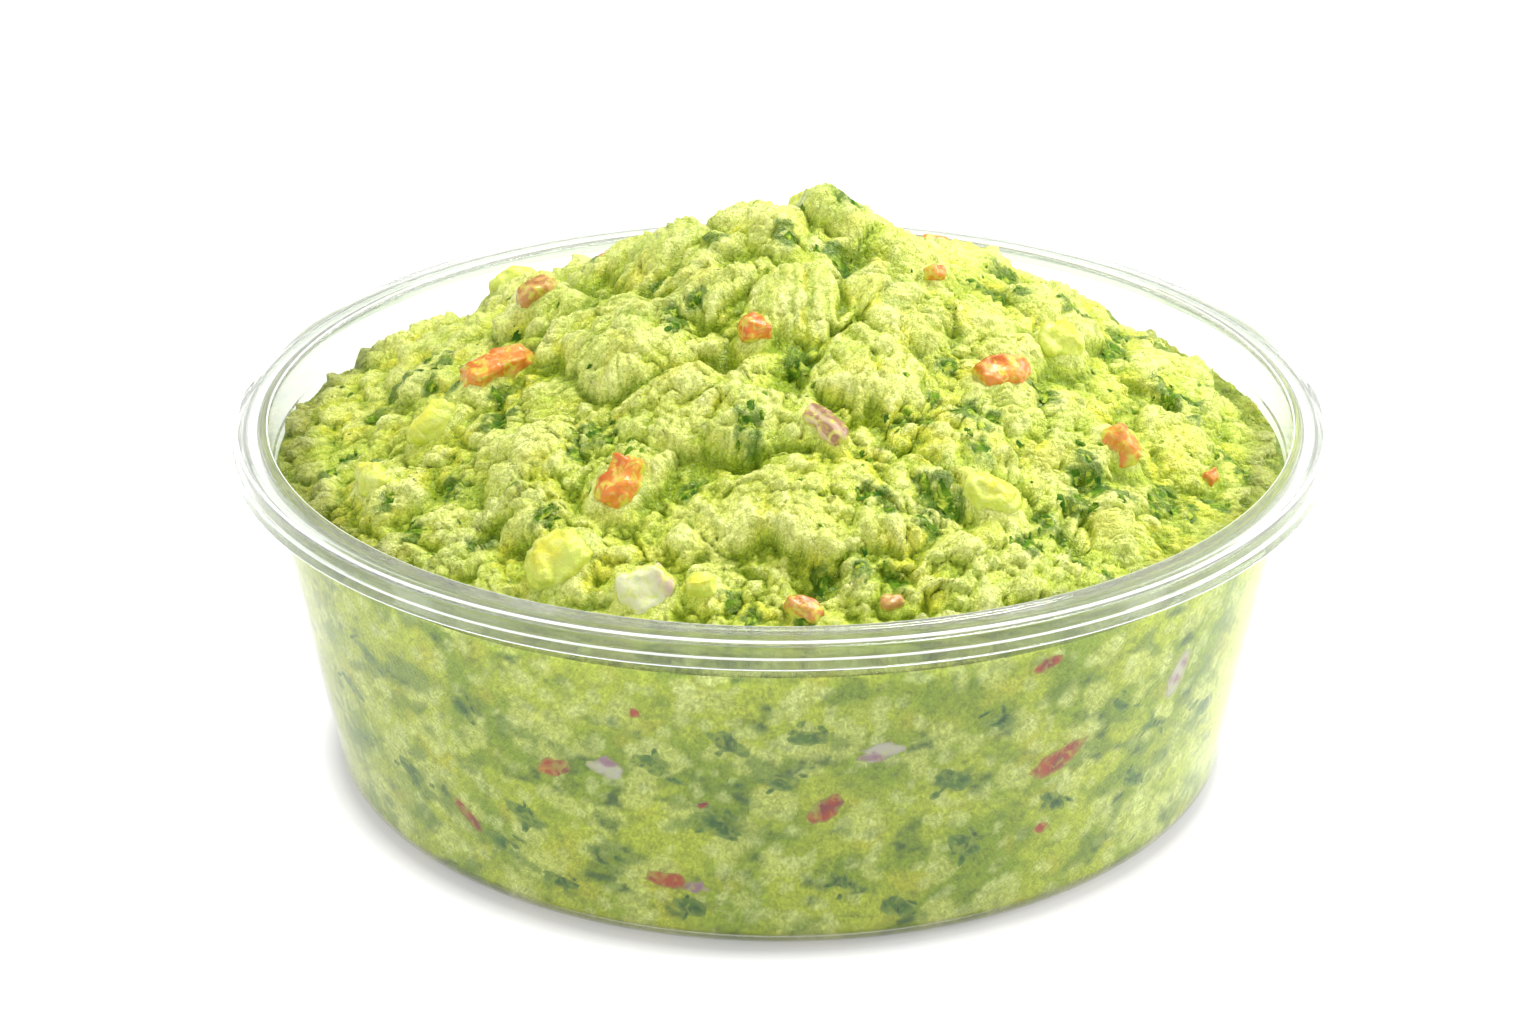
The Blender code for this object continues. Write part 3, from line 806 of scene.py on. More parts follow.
def mash_finish(name: str, grain: float, wet: float, mottle_and_glint: float, inner: float) -> bpy.types.Material:
    """Wet mashed flesh: its painted tint with fine mottling whose pale specks stand in as painted glints, a fine grain,
    and light inside it.

    Args:
        name: The material's name.
        grain: Strength of the finest bumps.
        wet: The roughness that glints come from.
        mottle_and_glint: How far the mottling goes below and above the tint; its paler side is whitened as painted
            glints.
        inner: The share of light that travels inside the flesh.

    Returns:
        The material.
    """
    nodes = Nodes(name)
    tint = nodes.add("ShaderNodeAttribute", attribute_name="tint")
    # Mottling: darker specks more saturated, paler specks whiter, standing in as painted glints.
    speckle_and_glint = nodes.add("ShaderNodeMix", data_type="RGBA")
    nodes.join(nodes.ranged(nodes.noise(0.7 * MM, 3.0, 0.75, 1.2), 0.3, 0.7, 0.0, 1.0), speckle_and_glint.inputs["Factor"])
    speckle_and_glint.inputs["A"].default_value = (1 - mottle_and_glint, 1 - 0.92 * mottle_and_glint, max(1 - 1.7 * mottle_and_glint, 0.1), 1)
    speckle_and_glint.inputs["B"].default_value = (1 + mottle_and_glint, 1 + 0.92 * mottle_and_glint, 1 + 2.4 * mottle_and_glint, 1)
    scaled = nodes.add("ShaderNodeMix", data_type="RGBA", blend_type="MULTIPLY")
    scaled.inputs["Factor"].default_value = 1.0
    nodes.join(tint.outputs["Color"], scaled.inputs["A"])
    nodes.join(speckle_and_glint.outputs["Result"], scaled.inputs["B"])
    nodes.join(scaled.outputs["Result"], nodes.shader.inputs["Base Color"])
    rough = nodes.ranged(nodes.noise(2.2 * MM, 3.0), 0.3, 0.7, wet, wet + 0.2)
    nodes.join(rough, nodes.shader.inputs["Roughness"])
    coarse = nodes.bump(nodes.noise(1.3 * MM, 3.0, 0.65, 0.8), 0.6 * MM, grain)
    fine = nodes.bump(nodes.noise(0.45 * MM, 2.0, 0.65, 0.8), 0.4 * MM, grain, coarse)
    nodes.join(fine, nodes.shader.inputs["Normal"])
    shader = nodes.shader
    shader.inputs["Subsurface Weight"].default_value = inner
    shader.inputs["Subsurface Radius"].default_value = (1.0, 0.9, 0.2)
    shader.inputs["Subsurface Scale"].default_value = 0.9 * MM
    shader.inputs["IOR"].default_value = 1.4
    shader.inputs["Specular IOR Level"].default_value = 0.6
    return nodes.material


def clear_finish(name: str, tint: tuple, alpha: float) -> bpy.types.Material:
    """Clear moulded plastic: a smooth shell that lets lamps shine through it.

    Args:
        name: The material's name.
        tint: Its colour, which deepens with each wall that the light passes.
        alpha: How much of its own look it shows, against what lies straight behind it.

    Returns:
        The material.
    """
    nodes = Nodes(name)
    shader = nodes.shader
    shader.inputs["Base Color"].default_value = (*tint, 1.0)
    shader.inputs["Transmission Weight"].default_value = 1.0
    shader.inputs["Roughness"].default_value = 0.0
    shader.inputs["IOR"].default_value = 1.46
    shader.inputs["Alpha"].default_value = alpha
    path = nodes.add("ShaderNodeLightPath")
    clear = nodes.add("ShaderNodeBsdfTransparent")
    clear.inputs["Color"].default_value = (0.93, 0.95, 0.93, 1.0)
    blend = nodes.add("ShaderNodeMixShader")
    nodes.join(path.outputs["Is Shadow Ray"], blend.inputs["Fac"])
    nodes.join(shader.outputs[0], blend.inputs[1])
    nodes.join(clear.outputs[0], blend.inputs[2])
    nodes.join(blend.outputs[0], nodes.output.inputs["Surface"])
    return nodes.material


def highlight_edge_finish() -> bpy.types.Material:
    """The moulded rim's rounded edges, painted near-white and partly opaque as painted highlight lines where the edges
    catch the light.
    """
    nodes = Nodes("clear_edge_painted_highlight")
    shader = nodes.shader
    shader.inputs["Base Color"].default_value = (0.96, 0.98, 0.95, 1.0)
    shader.inputs["Roughness"].default_value = 0.12
    shader.inputs["Alpha"].default_value = 0.8
    return nodes.material


def morsel_finish(name: str, rough: float, grain: float, gloss: float = 0.5, smear: float = 0.6) -> bpy.types.Material:
    """A wet cut piece: its painted tint with mash smeared on it, faint grain, and light inside it."""
    nodes = Nodes(name)
    tint = nodes.add("ShaderNodeAttribute", attribute_name="tint")
    smeared = nodes.add("ShaderNodeMix", data_type="RGBA")
    nodes.join(nodes.ranged(nodes.noise(1.6 * MM, 4.0, 0.65, 1.0), 0.5, 0.62, 0.0, smear), smeared.inputs["Factor"])
    nodes.join(tint.outputs["Color"], smeared.inputs["A"])
    smeared.inputs["B"].default_value = (*linear(210, 220, 80), 1.0)
    nodes.join(smeared.outputs["Result"], nodes.shader.inputs["Base Color"])
    nodes.join(nodes.ranged(nodes.noise(1.5 * MM, 2.0), 0.3, 0.7, rough, rough + 0.2), nodes.shader.inputs["Roughness"])
    nodes.join(nodes.bump(nodes.noise(0.7 * MM, 3.0, 0.6), 0.3 * MM, grain), nodes.shader.inputs["Normal"])
    nodes.shader.inputs["Specular IOR Level"].default_value = gloss
    nodes.shader.inputs["Subsurface Weight"].default_value = 0.2
    nodes.shader.inputs["Subsurface Radius"].default_value = (1.0, 0.5, 0.3)
    nodes.shader.inputs["Subsurface Scale"].default_value = 0.9 * MM
    return nodes.material


# ---------------------------------------------------------------------------------------------
# The tub
# ---------------------------------------------------------------------------------------------


@dataclass
class ClearTub:
    """The clear tub: a thin turned shell with a stepped rim."""

    sizes: TubSizes
    segments: int = 256
    edge: float = 0.4 * MM  # rounding of the rim's edges

    def section(self) -> tuple[Array, Array]:
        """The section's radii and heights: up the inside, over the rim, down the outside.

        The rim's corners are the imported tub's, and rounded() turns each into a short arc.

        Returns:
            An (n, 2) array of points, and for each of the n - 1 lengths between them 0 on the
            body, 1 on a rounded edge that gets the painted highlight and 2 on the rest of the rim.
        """
        s = self.sizes
        top, lip = s.top, s.lip
        under = top - 0.3 * MM - s.rim_wall
        seat = lip - s.seat_depth
        mouth = s.inner_radius(lip, s.wall) + 0.2 * MM
        channel = mouth + 0.9 * MM
        brim = channel + 2.0 * MM
        skirt_top = s.rim_radius - 2 * self.edge
        step = lip + s.rim_height / 2
        body = s.rim_radius - s.body_inset
        # Each corner: radius, height, reach in mm of its arc, and whether that arc gets the painted white highlight.
        corners = [
            (s.inner_radius(seat, s.wall), seat, 0.1, False),
            (s.inner_radius(seat, s.wall) + 0.2 * MM, seat + 0.4 * MM, 0.1, False),
            (mouth, top, 0.2, True),
            (mouth + 0.7 * MM, top, 0.3, False),
            (channel + 0.2 * MM, top - 0.3 * MM, 0.4, False),
            (brim - 0.2 * MM, top - 0.3 * MM, 0.4, False),
            (brim + 0.4 * MM, top, 0.4, False),
            (skirt_top, top - 0.02 * MM, 0.26, True),
            (s.rim_radius - 0.5 * MM, step, 0.12, False),
            (s.rim_radius - 0.2 * MM, step - 0.3 * MM, 0.16, True),
            (s.rim_radius, lip, 0.2, True),
            (s.rim_radius - s.rim_wall, lip, 0.12, False),
            (skirt_top - s.rim_wall, under, 0.5, False),
            (body + 0.4 * MM, under, 0.4, False),
            (body, lip, 0.4, False),
        ]
        inside = s.foot(s.wall, 10)[::-1]
        floor = np.array([(0.0, s.floor), (0.5 * inside[0, 0], s.floor)])
        inside[:, 1] = np.maximum(inside[:, 1], s.floor)
        outside = s.foot(0.0, 12)
        base = np.array([(0.5 * outside[-1, 0], 0.0), (0.0, 0.0)])
        rim = self.rounded(corners, inside[-1], outside[0])
        points = np.concatenate([floor, inside, rim, outside, base])
        part = np.zeros(len(points) - 1, np.int32)
        first, each = len(floor) + len(inside), len(rim) // len(corners)
        part[first - 1 : first + len(rim)] = 2
        for index, corner in enumerate(corners):
            if corner[3]:
                part[first + index * each : first + (index + 1) * each - 1] = 1
        return points, part

    @staticmethod
    def rounded(corners: Sequence[tuple], before: Array, after: Array, steps: int = 4) -> Array:
        """Replaces each corner by a short curve: (1-t)^2 a + 2t(1-t) corner + t^2 b.

        Args:
            corners: Radius, height and reach in mm of each corner.
            before, after: The section's points on either side.
            steps: Steps along each curve.

        Returns:
            An (n, 2) array.
        """
        places = [np.asarray(before), *(np.array(c[:2]) for c in corners), np.asarray(after)]
        t = np.linspace(0, 1, steps + 1)[:, None]
        curves = []
        for index, corner in enumerate(corners, start=1):
            here = places[index]
            ends = []
            for other in (places[index - 1], places[index + 1]):
                gap = other - here
                reach = min(corner[2] * MM, 0.45 * float(np.hypot(*gap)))
                ends.append(here + gap / np.hypot(*gap) * reach)
            curves.append((1 - t) ** 2 * ends[0] + 2 * t * (1 - t) * here + t**2 * ends[1])
        return np.concatenate(curves)

    def build(self) -> bpy.types.Object:
        """Turns the section about the axis: (r cos a, r sin a, z) for each turn a."""
        section, part = self.section()
        inner = section[1:-1]
        angle = np.linspace(0, 2 * math.pi, self.segments, endpoint=False)
        ring = np.stack([np.cos(angle), np.sin(angle)], 1)
        points = np.concatenate(
            [inner[:, None, :1] * ring[None], np.broadcast_to(inner[:, None, 1:], (len(inner), self.segments, 1))], 2
        ).reshape(-1, 3)
        quads = grid_quads(len(inner), self.segments, closed=True)[:, ::-1]
        first, last = len(points), len(points) + 1
        points = np.concatenate([points, [(0, 0, section[0, 1]), (0, 0, section[-1, 1])]])
        i = np.arange(self.segments)
        j = (i + 1) % self.segments
        end = (len(inner) - 1) * self.segments
        fans = np.concatenate([np.stack([np.full_like(i, first), i, j], 1), np.stack([np.full_like(i, last), end + j, end + i], 1)])
        piece = mesh_piece("tub_shell", points, quads, fans)
        piece.data.materials.append(clear_finish("clear_plastic", (0.985, 0.995, 0.985), 0.55))
        # The rim's rounded edges get a near-white painted highlight in place of the lines of light that they catch.
        piece.data.materials.append(highlight_edge_finish())
        # The rim's stronger grey-green tint darkens the mash seen behind it: partly the thicker plastic's own tint,
        # partly painted shade under the rim.
        piece.data.materials.append(clear_finish("clear_rim_tint_and_shade", (0.75, 0.81, 0.7), 0.85))
        kinds = np.concatenate([np.repeat(part[1:-1], self.segments), np.zeros(len(fans), np.int32)])
        piece.data.polygons.foreach_set("material_index", kinds)
        return piece


# ---------------------------------------------------------------------------------------------
# The mash
# ---------------------------------------------------------------------------------------------


@dataclass
class Mash:
    """The guacamole itself: the heap that is seen from above, and the fill seen through the wall."""

    form: HeapForm
    colours: MashColours = field(default_factory=MashColours)
    columns: int = 320
    front_rows: int = 298
    back_rows: int = 200
    seam: float = 0.12  # where the front piece ends, as a share of the way to the back
    fill_columns: int = 880
    fill_rows: int = 100
    into_wall: float = 0.15 * MM
    grid: Optional[Array] = None
    normal: Optional[Array] = None
    bulge: float = 0.12  # how far lumps are widened over their creases, in mm

    @property
    def inset(self) -> float:
        """How far inside the tub's outer face the mash ends."""
        return self.form.tub.wall - self.into_wall

    def blurred(self, values: Array, width: int) -> Array:
        """Averages a square grid of values over a box, twice, by running sums."""
        for _ in range(2):
            for axis in (0, 1):
                padded = np.concatenate([np.repeat(values.take([0], axis), width, axis), values,
                                         np.repeat(values.take([-1], axis), width, axis)], axis)
                total = np.cumsum(padded, axis)
                total = np.concatenate([np.zeros_like(total.take([0], axis)), total], axis)
                count = values.shape[axis]
                window = 2 * width + 1
                high = total.take(np.arange(window, window + count), axis)
                low = total.take(np.arange(0, count), axis)
                values = (high - low) / window
        return values

    def heap(self) -> list[bpy.types.Object]:
        """The heap: a disc of points at the surface's height, in a front and a back piece."""
        rows, columns = self.front_rows + self.back_rows, self.columns
        u = np.linspace(-1, 1, columns)
        v = np.concatenate([
            np.linspace(-1, self.seam, self.front_rows, endpoint=False), np.linspace(self.seam, 1, self.back_rows)
        ])
        grid_v, grid_u = np.meshgrid(v, u, indexing="ij")
        disc_x, disc_y = disc_from_square(grid_u.ravel(), grid_v.ravel())
        angle = np.arctan2(disc_y, disc_x)
        ring = np.linspace(-math.pi, math.pi, 721)
        edge_height = np.interp(angle, ring, self.form.contact(ring, self.inset))
        edge_radius = self.form.tub.inner_radius(edge_height, self.inset)
        x, y = disc_x * edge_radius, disc_y * edge_radius
        points, fields = self.form.surface(x, y)
        edge = np.hypot(disc_x, disc_y) > 1 - 1e-9
        points[edge] = np.stack([x, y, edge_height], 1)[edge]
        high = (points[:, 2] / MM).reshape(rows, columns)
        points = self.swollen(points.reshape(rows, columns, 3), edge)
        # How far each place lies below its surroundings at three widths; paint() turns it into painted shade in hollows
        # and a painted highlight on crests.
        near = high - self.blurred(high, 3)
        middle = high - self.blurred(high, 8)
        wide = high - self.blurred(high, 22)
        hollow = np.clip(0.5 - 0.45 * near - 0.3 * middle - 0.12 * wide, 0, 1).ravel()
        # Distance inside the heap's foot, which paint() uses for the painted shade next to the wall.
        fields["inward"] = self.form.foot - np.hypot(points[..., 0], points[..., 1]).ravel() / MM
        colour = self.colours.paint(points.reshape(-1, 3) / MM, fields, hollow).reshape(rows, columns, 3)
        normal = self.normals(points)
        self.grid, self.normal = points, normal
        split = self.front_rows
        front = self.closed_below("mash_heap_front", points[: split + 1], colour[: split + 1], normal[: split + 1])
        back = self.closed_below("mash_heap_back", points[split:], colour[split:], normal[split:])
        return [front, back]

    @staticmethod
    def normals(grid: Array) -> Array:
        """The unit normals of a grid of points, from the cross product of its two directions."""
        normal = np.cross(np.gradient(grid, axis=1), np.gradient(grid, axis=0))
        return normal / np.maximum(np.linalg.norm(normal, axis=2, keepdims=True), 1e-12)

    def swollen(self, grid: Array, edge: Array) -> Array:
        """Widens the lumps over their creases: each point moves along its normal's sideways part.

        Args:
            grid: The grid of points.
            edge: Which points lie at the wall, which stay.

        Returns:
            The moved points.
        """
        normal = self.normals(grid)
        broad = np.stack([self.blurred(normal[..., k], 7) for k in range(3)], -1)
        moved = grid + self.bulge * MM * (normal - broad)
        return np.where(edge.reshape(*grid.shape[:2], 1), grid, moved)

    def closed_below(self, name: str, grid: Array, colour: Array, normal: Array) -> bpy.types.Object:
        """Closes a patch of the surface with straight walls and a flat floor inside the fill."""
        rows, columns = grid.shape[:2]
        number = np.arange(rows * columns).reshape(rows, columns)
        border = np.concatenate([number[0, :-1], number[:-1, -1], number[-1, :0:-1], number[:0:-1, 0]])
        points = grid.reshape(-1, 3)
        colour = colour.reshape(-1, 3)
        ring = points[border]
        inward = np.where(np.hypot(ring[:, 0], ring[:, 1])[:, None] > 0.8 * self.form.tub.rim_radius, (0.97, 0.97, 0.0), (1.0, 1.0, 0.0))
        wall = ring * inward + (0, 0, 36 * MM)
        count, start = len(border), len(points)
        middle = wall.mean(axis=0)
        i = np.arange(count)
        j = (i + 1) % count
        sides = np.stack([border[i], start + i, start + j, border[j]], 1)
        fan = np.stack([start + j, start + i, np.full_like(i, start + count)], 1)
        all_colour = np.concatenate([colour, colour[border], colour[:1]])
        piece = mesh_piece(
            name, np.concatenate([points, wall, middle[None]]), np.concatenate([grid_quads(rows, columns), sides]), fan, all_colour
        )
        outward = np.zeros((len(points) + count + 1, 3))
        outward[: len(points)] = normal.reshape(-1, 3)
        piece.data.normals_split_custom_set_from_vertices(outward.tolist())
        return piece

    def fill(self) -> bpy.types.Object:
        """The fill: from the heap's edge down the wall, round the foot and over the floor.

        Rows run along the section, and columns round it: (r cos a, r sin a, z).
        """
        tub = self.form.tub
        angle = np.linspace(0, 2 * math.pi, self.fill_columns, endpoint=False)
        contact = self.form.contact(angle, self.inset) - 0.25 * MM
        foot = tub.foot(self.inset, 9)
        foot[:, 1] = np.maximum(foot[:, 1], tub.floor - self.into_wall)
        wall_rows = self.fill_rows - 10 - 4
        share = np.linspace(0, 1, wall_rows, endpoint=False)[:, None]
        height = contact[None] * (1 - share) + foot[0, 1] * share
        radius = tub.inner_radius(height, self.inset)
        flat = np.linspace(1, 0.25, 5)[1:, None] * foot[-1, 0]
        rows_r = np.concatenate([radius[:1] - 9 * MM, radius, np.repeat(foot[:, :1], len(angle), 1), np.repeat(flat, len(angle), 1)])
        rows_z = np.concatenate([height[:1], height, np.repeat(foot[:, 1:], len(angle), 1), np.full((4, len(angle)), foot[-1, 1])])
        points = np.stack([rows_r * np.cos(angle), rows_r * np.sin(angle), rows_z], -1).reshape(-1, 3)
        rows = len(rows_r)
        quads = grid_quads(rows, self.fill_columns, closed=True)[:, ::-1]
        ends = np.array([[0, 0, float(contact.mean())], [0, 0, foot[-1, 1]]])
        i = np.arange(self.fill_columns)
        j = (i + 1) % self.fill_columns
        last = (rows - 1) * self.fill_columns
        top_fan = np.stack([np.full_like(i, len(points)), i, j], 1)
        low_fan = np.stack([np.full_like(i, len(points) + 1), last + j, last + i], 1)
        points = np.concatenate([points, ends])
        colour = self.pressed_colour(points / MM)
        return mesh_piece("mash_fill", points, quads, np.concatenate([top_fan, low_fan]), colour)

    def pressed_colour(self, points: Array) -> Array:
        """The colour where the mash is pressed to the wall: pale nubs in a greener paste, with painted shade behind the
        rim and along the foot.
        """
        bend = np.stack([waves(points, 3.5, 601 + 10 * n, 2) for n in range(3)], 1)
        warped = points + 1.1 * bend
        colour = mix(linear(150, 173, 34), linear(192, 204, 54), smooth_step(waves(points, 11.0, 611, 3), -0.4, 0.4))
        colour = mix(colour, linear(204, 198, 54), 0.5 * smooth_step(waves(points, 6.0, 615, 2), 0.2, 0.7))
        coarse, small = Cells.around(warped, 5.2, 621), Cells.around(points + 0.6 * bend, 2.2, 641)
        colour = mix(colour, linear(212, 220, 108), 0.8 * smooth_step(coarse.domes(0.62, 0.5), 0.15, 0.6))
        colour = mix(colour, linear(222, 230, 140), 0.5 * smooth_step(small.domes(0.6, 0.35), 0.15, 0.6))
        shade = smooth_step(waves(warped * (0.8, 0.8, 1.2), 5.0, 661, 3), 0.12, 0.6)
        colour = mix(colour, linear(108, 138, 28), 0.7 * shade)
        fleck = smooth_step(waves(points * (0.8, 0.8, 1.3), 2.6, 681, 4), 0.36, 0.6)
        colour = mix(colour, linear(44, 88, 40), 0.75 * fleck * (0.35 + 0.65 * shade))
        # Painted shade: darker from just under the rim's lower edge upward, where the rim shades the mash.
        lip = self.form.tub.lip / MM
        colour = colour * (1 - 0.45 * smooth_step(points[:, 2:], lip - 0.6, lip + 0.4))
        # Painted shadow: darker over the lowest 4 mm, where the tub meets the floor.
        return colour * (1 - 0.5 * smooth_step(points[:, 2:], 4.0, 1.2))

    def build(self) -> list[bpy.types.Object]:
        """Builds both pieces and dresses them."""
        heap, fill = self.heap(), self.fill()
        wet = mash_finish("mash_wet", 1.0, 0.12, 0.38, 0.2)
        for piece in heap:
            piece.data.materials.append(wet)
        fill.data.materials.append(mash_finish("mash_pressed", 0.3, 0.3, 0.5, 0.0))
        return [*heap, fill]


# ---------------------------------------------------------------------------------------------
# Toppings, herbs and what shows through the wall
# ---------------------------------------------------------------------------------------------


def rounded_block(count: int, power: float) -> tuple[Array, Array]:
    """A closed block with soft corners: a cube's grid points p over (sum |p|^power)^(1/power).

    Args:
        count: Squares along each side.
        power: 2 gives a ball, and more gives a squarer block.

    Returns:
        Points from -1 to 1, and quads that face outward.
    """
    t = np.linspace(-1, 1, count + 1)
    a, b = (side.ravel() for side in np.meshgrid(t, t, indexing="ij"))
    points, quads = [], []
    for axis in range(3):
        for end in (-1, 1):
            face = np.empty((len(a), 3))
            face[:, axis], face[:, (axis + 1) % 3], face[:, (axis + 2) % 3] = end, a, b
            square = grid_quads(count + 1, count + 1, start=len(a) * len(points))
            points.append(face)
            quads.append(square[:, ::-1] if end > 0 else square)
    cube = np.concatenate(points)
    _, first, index = np.unique(np.round(cube, 6), axis=0, return_index=True, return_inverse=True)
    cube = cube[first]
    return cube / (np.abs(cube) ** power).sum(1, keepdims=True) ** (1 / power), index.reshape(-1)[np.concatenate(quads)]


class Kind(Enum):
    """What a topping is cut from."""

    TOMATO = "tomato"
    ONION = "onion"
    AVOCADO = "avocado"


@dataclass(frozen=True)
class Morsel:
    """A cut piece in the heap's surface. Sizes in mm, angles in degrees."""

    name: str
    kind: Kind
    size: tuple
    yaw: float
    tilt: float
    tone: float = 0.0  # from -1, browner or duller, to 1, brighter
    place: Optional[tuple] = None  # x and y in mm where no node holds the place


NODE_MORSELS = (
    Morsel("tomato_1", Kind.TOMATO, (10.5, 5.5, 4.5), 33, 10, 0.3),
    Morsel("tomato_2", Kind.TOMATO, (7.0, 5.4, 4.0), 50, -10, 0.0),
    Morsel("tomato_3", Kind.TOMATO, (8.0, 4.5, 4.2), 32, 16, -0.1),
    Morsel("tomato_4", Kind.TOMATO, (5.8, 4.4, 4.0), -12, -10, 1.0),
    Morsel("tomato_5", Kind.TOMATO, (6.4, 3.6, 3.2), 12, 10, -0.8),
    Morsel("tomato_6", Kind.TOMATO, (3.8, 3.8, 3.6), 20, 30, 0.2),
    Morsel("onion_1", Kind.ONION, (7.0, 3.8, 2.4), -35, 25, -1.0),
    Morsel("onion_2", Kind.ONION, (7.0, 6.4, 3.0), 10, 30, 1.0),
    Morsel("avocado_1", Kind.AVOCADO, (8.6, 7.4, 6.4), 20, 0, 0.5),
    Morsel("avocado_2", Kind.AVOCADO, (7.0, 6.2, 5.4), 0, 0, 0.2),
    Morsel("avocado_3", Kind.AVOCADO, (6.6, 5.6, 5.2), 30, 0, 1.0),
)
LOOSE_MORSELS = (
    Morsel("a", Kind.TOMATO, (2.6, 2.2, 2.0), 20, 0, 0.2, (20.4, -5.1)),
    Morsel("b", Kind.TOMATO, (3.0, 2.0, 2.2), 70, 0, -0.2, (57.0, -20.6)),
    Morsel("c", Kind.TOMATO, (4.4, 2.4, 2.2), -35, 0, -0.4, (2.8, -60.0)),
    Morsel("d", Kind.TOMATO, (2.8, 2.0, 1.8), 10, 0, -0.9, (13.7, -58.4)),
    Morsel("e", Kind.TOMATO, (8.0, 5.0, 4.2), -30, 10, 0.2, (-23.0, 37.0)),
    Morsel("f", Kind.TOMATO, (6.4, 4.6, 4.0), 60, -12, -0.3, (13.0, 33.0)),
    Morsel("g", Kind.TOMATO, (7.0, 4.0, 3.8), 15, 14, 0.5, (24.0, 42.0)),
    Morsel("h", Kind.TOMATO, (5.4, 4.2, 3.8), -50, 8, 0.0, (-9.0, 49.0)),
    Morsel("i", Kind.TOMATO, (4.2, 3.4, 3.2), 40, 0, -0.6, (-29.0, 51.0)),
    Morsel("j", Kind.TOMATO, (3.2, 2.6, 2.4), 0, 20, 0.4, (11.0, 57.0)),
    Morsel("k", Kind.ONION, (6.6, 3.6, 2.4), 35, 20, -1.0, (-13.0, 31.0)),
    Morsel("l", Kind.ONION, (6.2, 5.2, 2.8), -20, 24, 0.8, (1.0, 43.0)),
    Morsel("m", Kind.AVOCADO, (7.4, 6.2, 5.4), 10, 0, 0.4, (-39.0, 42.0)),
    Morsel("n", Kind.AVOCADO, (6.4, 5.4, 5.0), 50, 0, 0.1, (4.0, 20.0)),
    Morsel("o", Kind.AVOCADO, (8.4, 4.6, 4.4), -70, 0, 0.3, (-53.5, -26.0)),
    Morsel("p", Kind.AVOCADO, (7.6, 4.4, 4.2), 15, 0, 0.2, (-46.0, -18.5)),
    Morsel("q", Kind.AVOCADO, (4.4, 3.8, 3.6), 0, 0, 0.6, (-10.1, -57.0)),
)


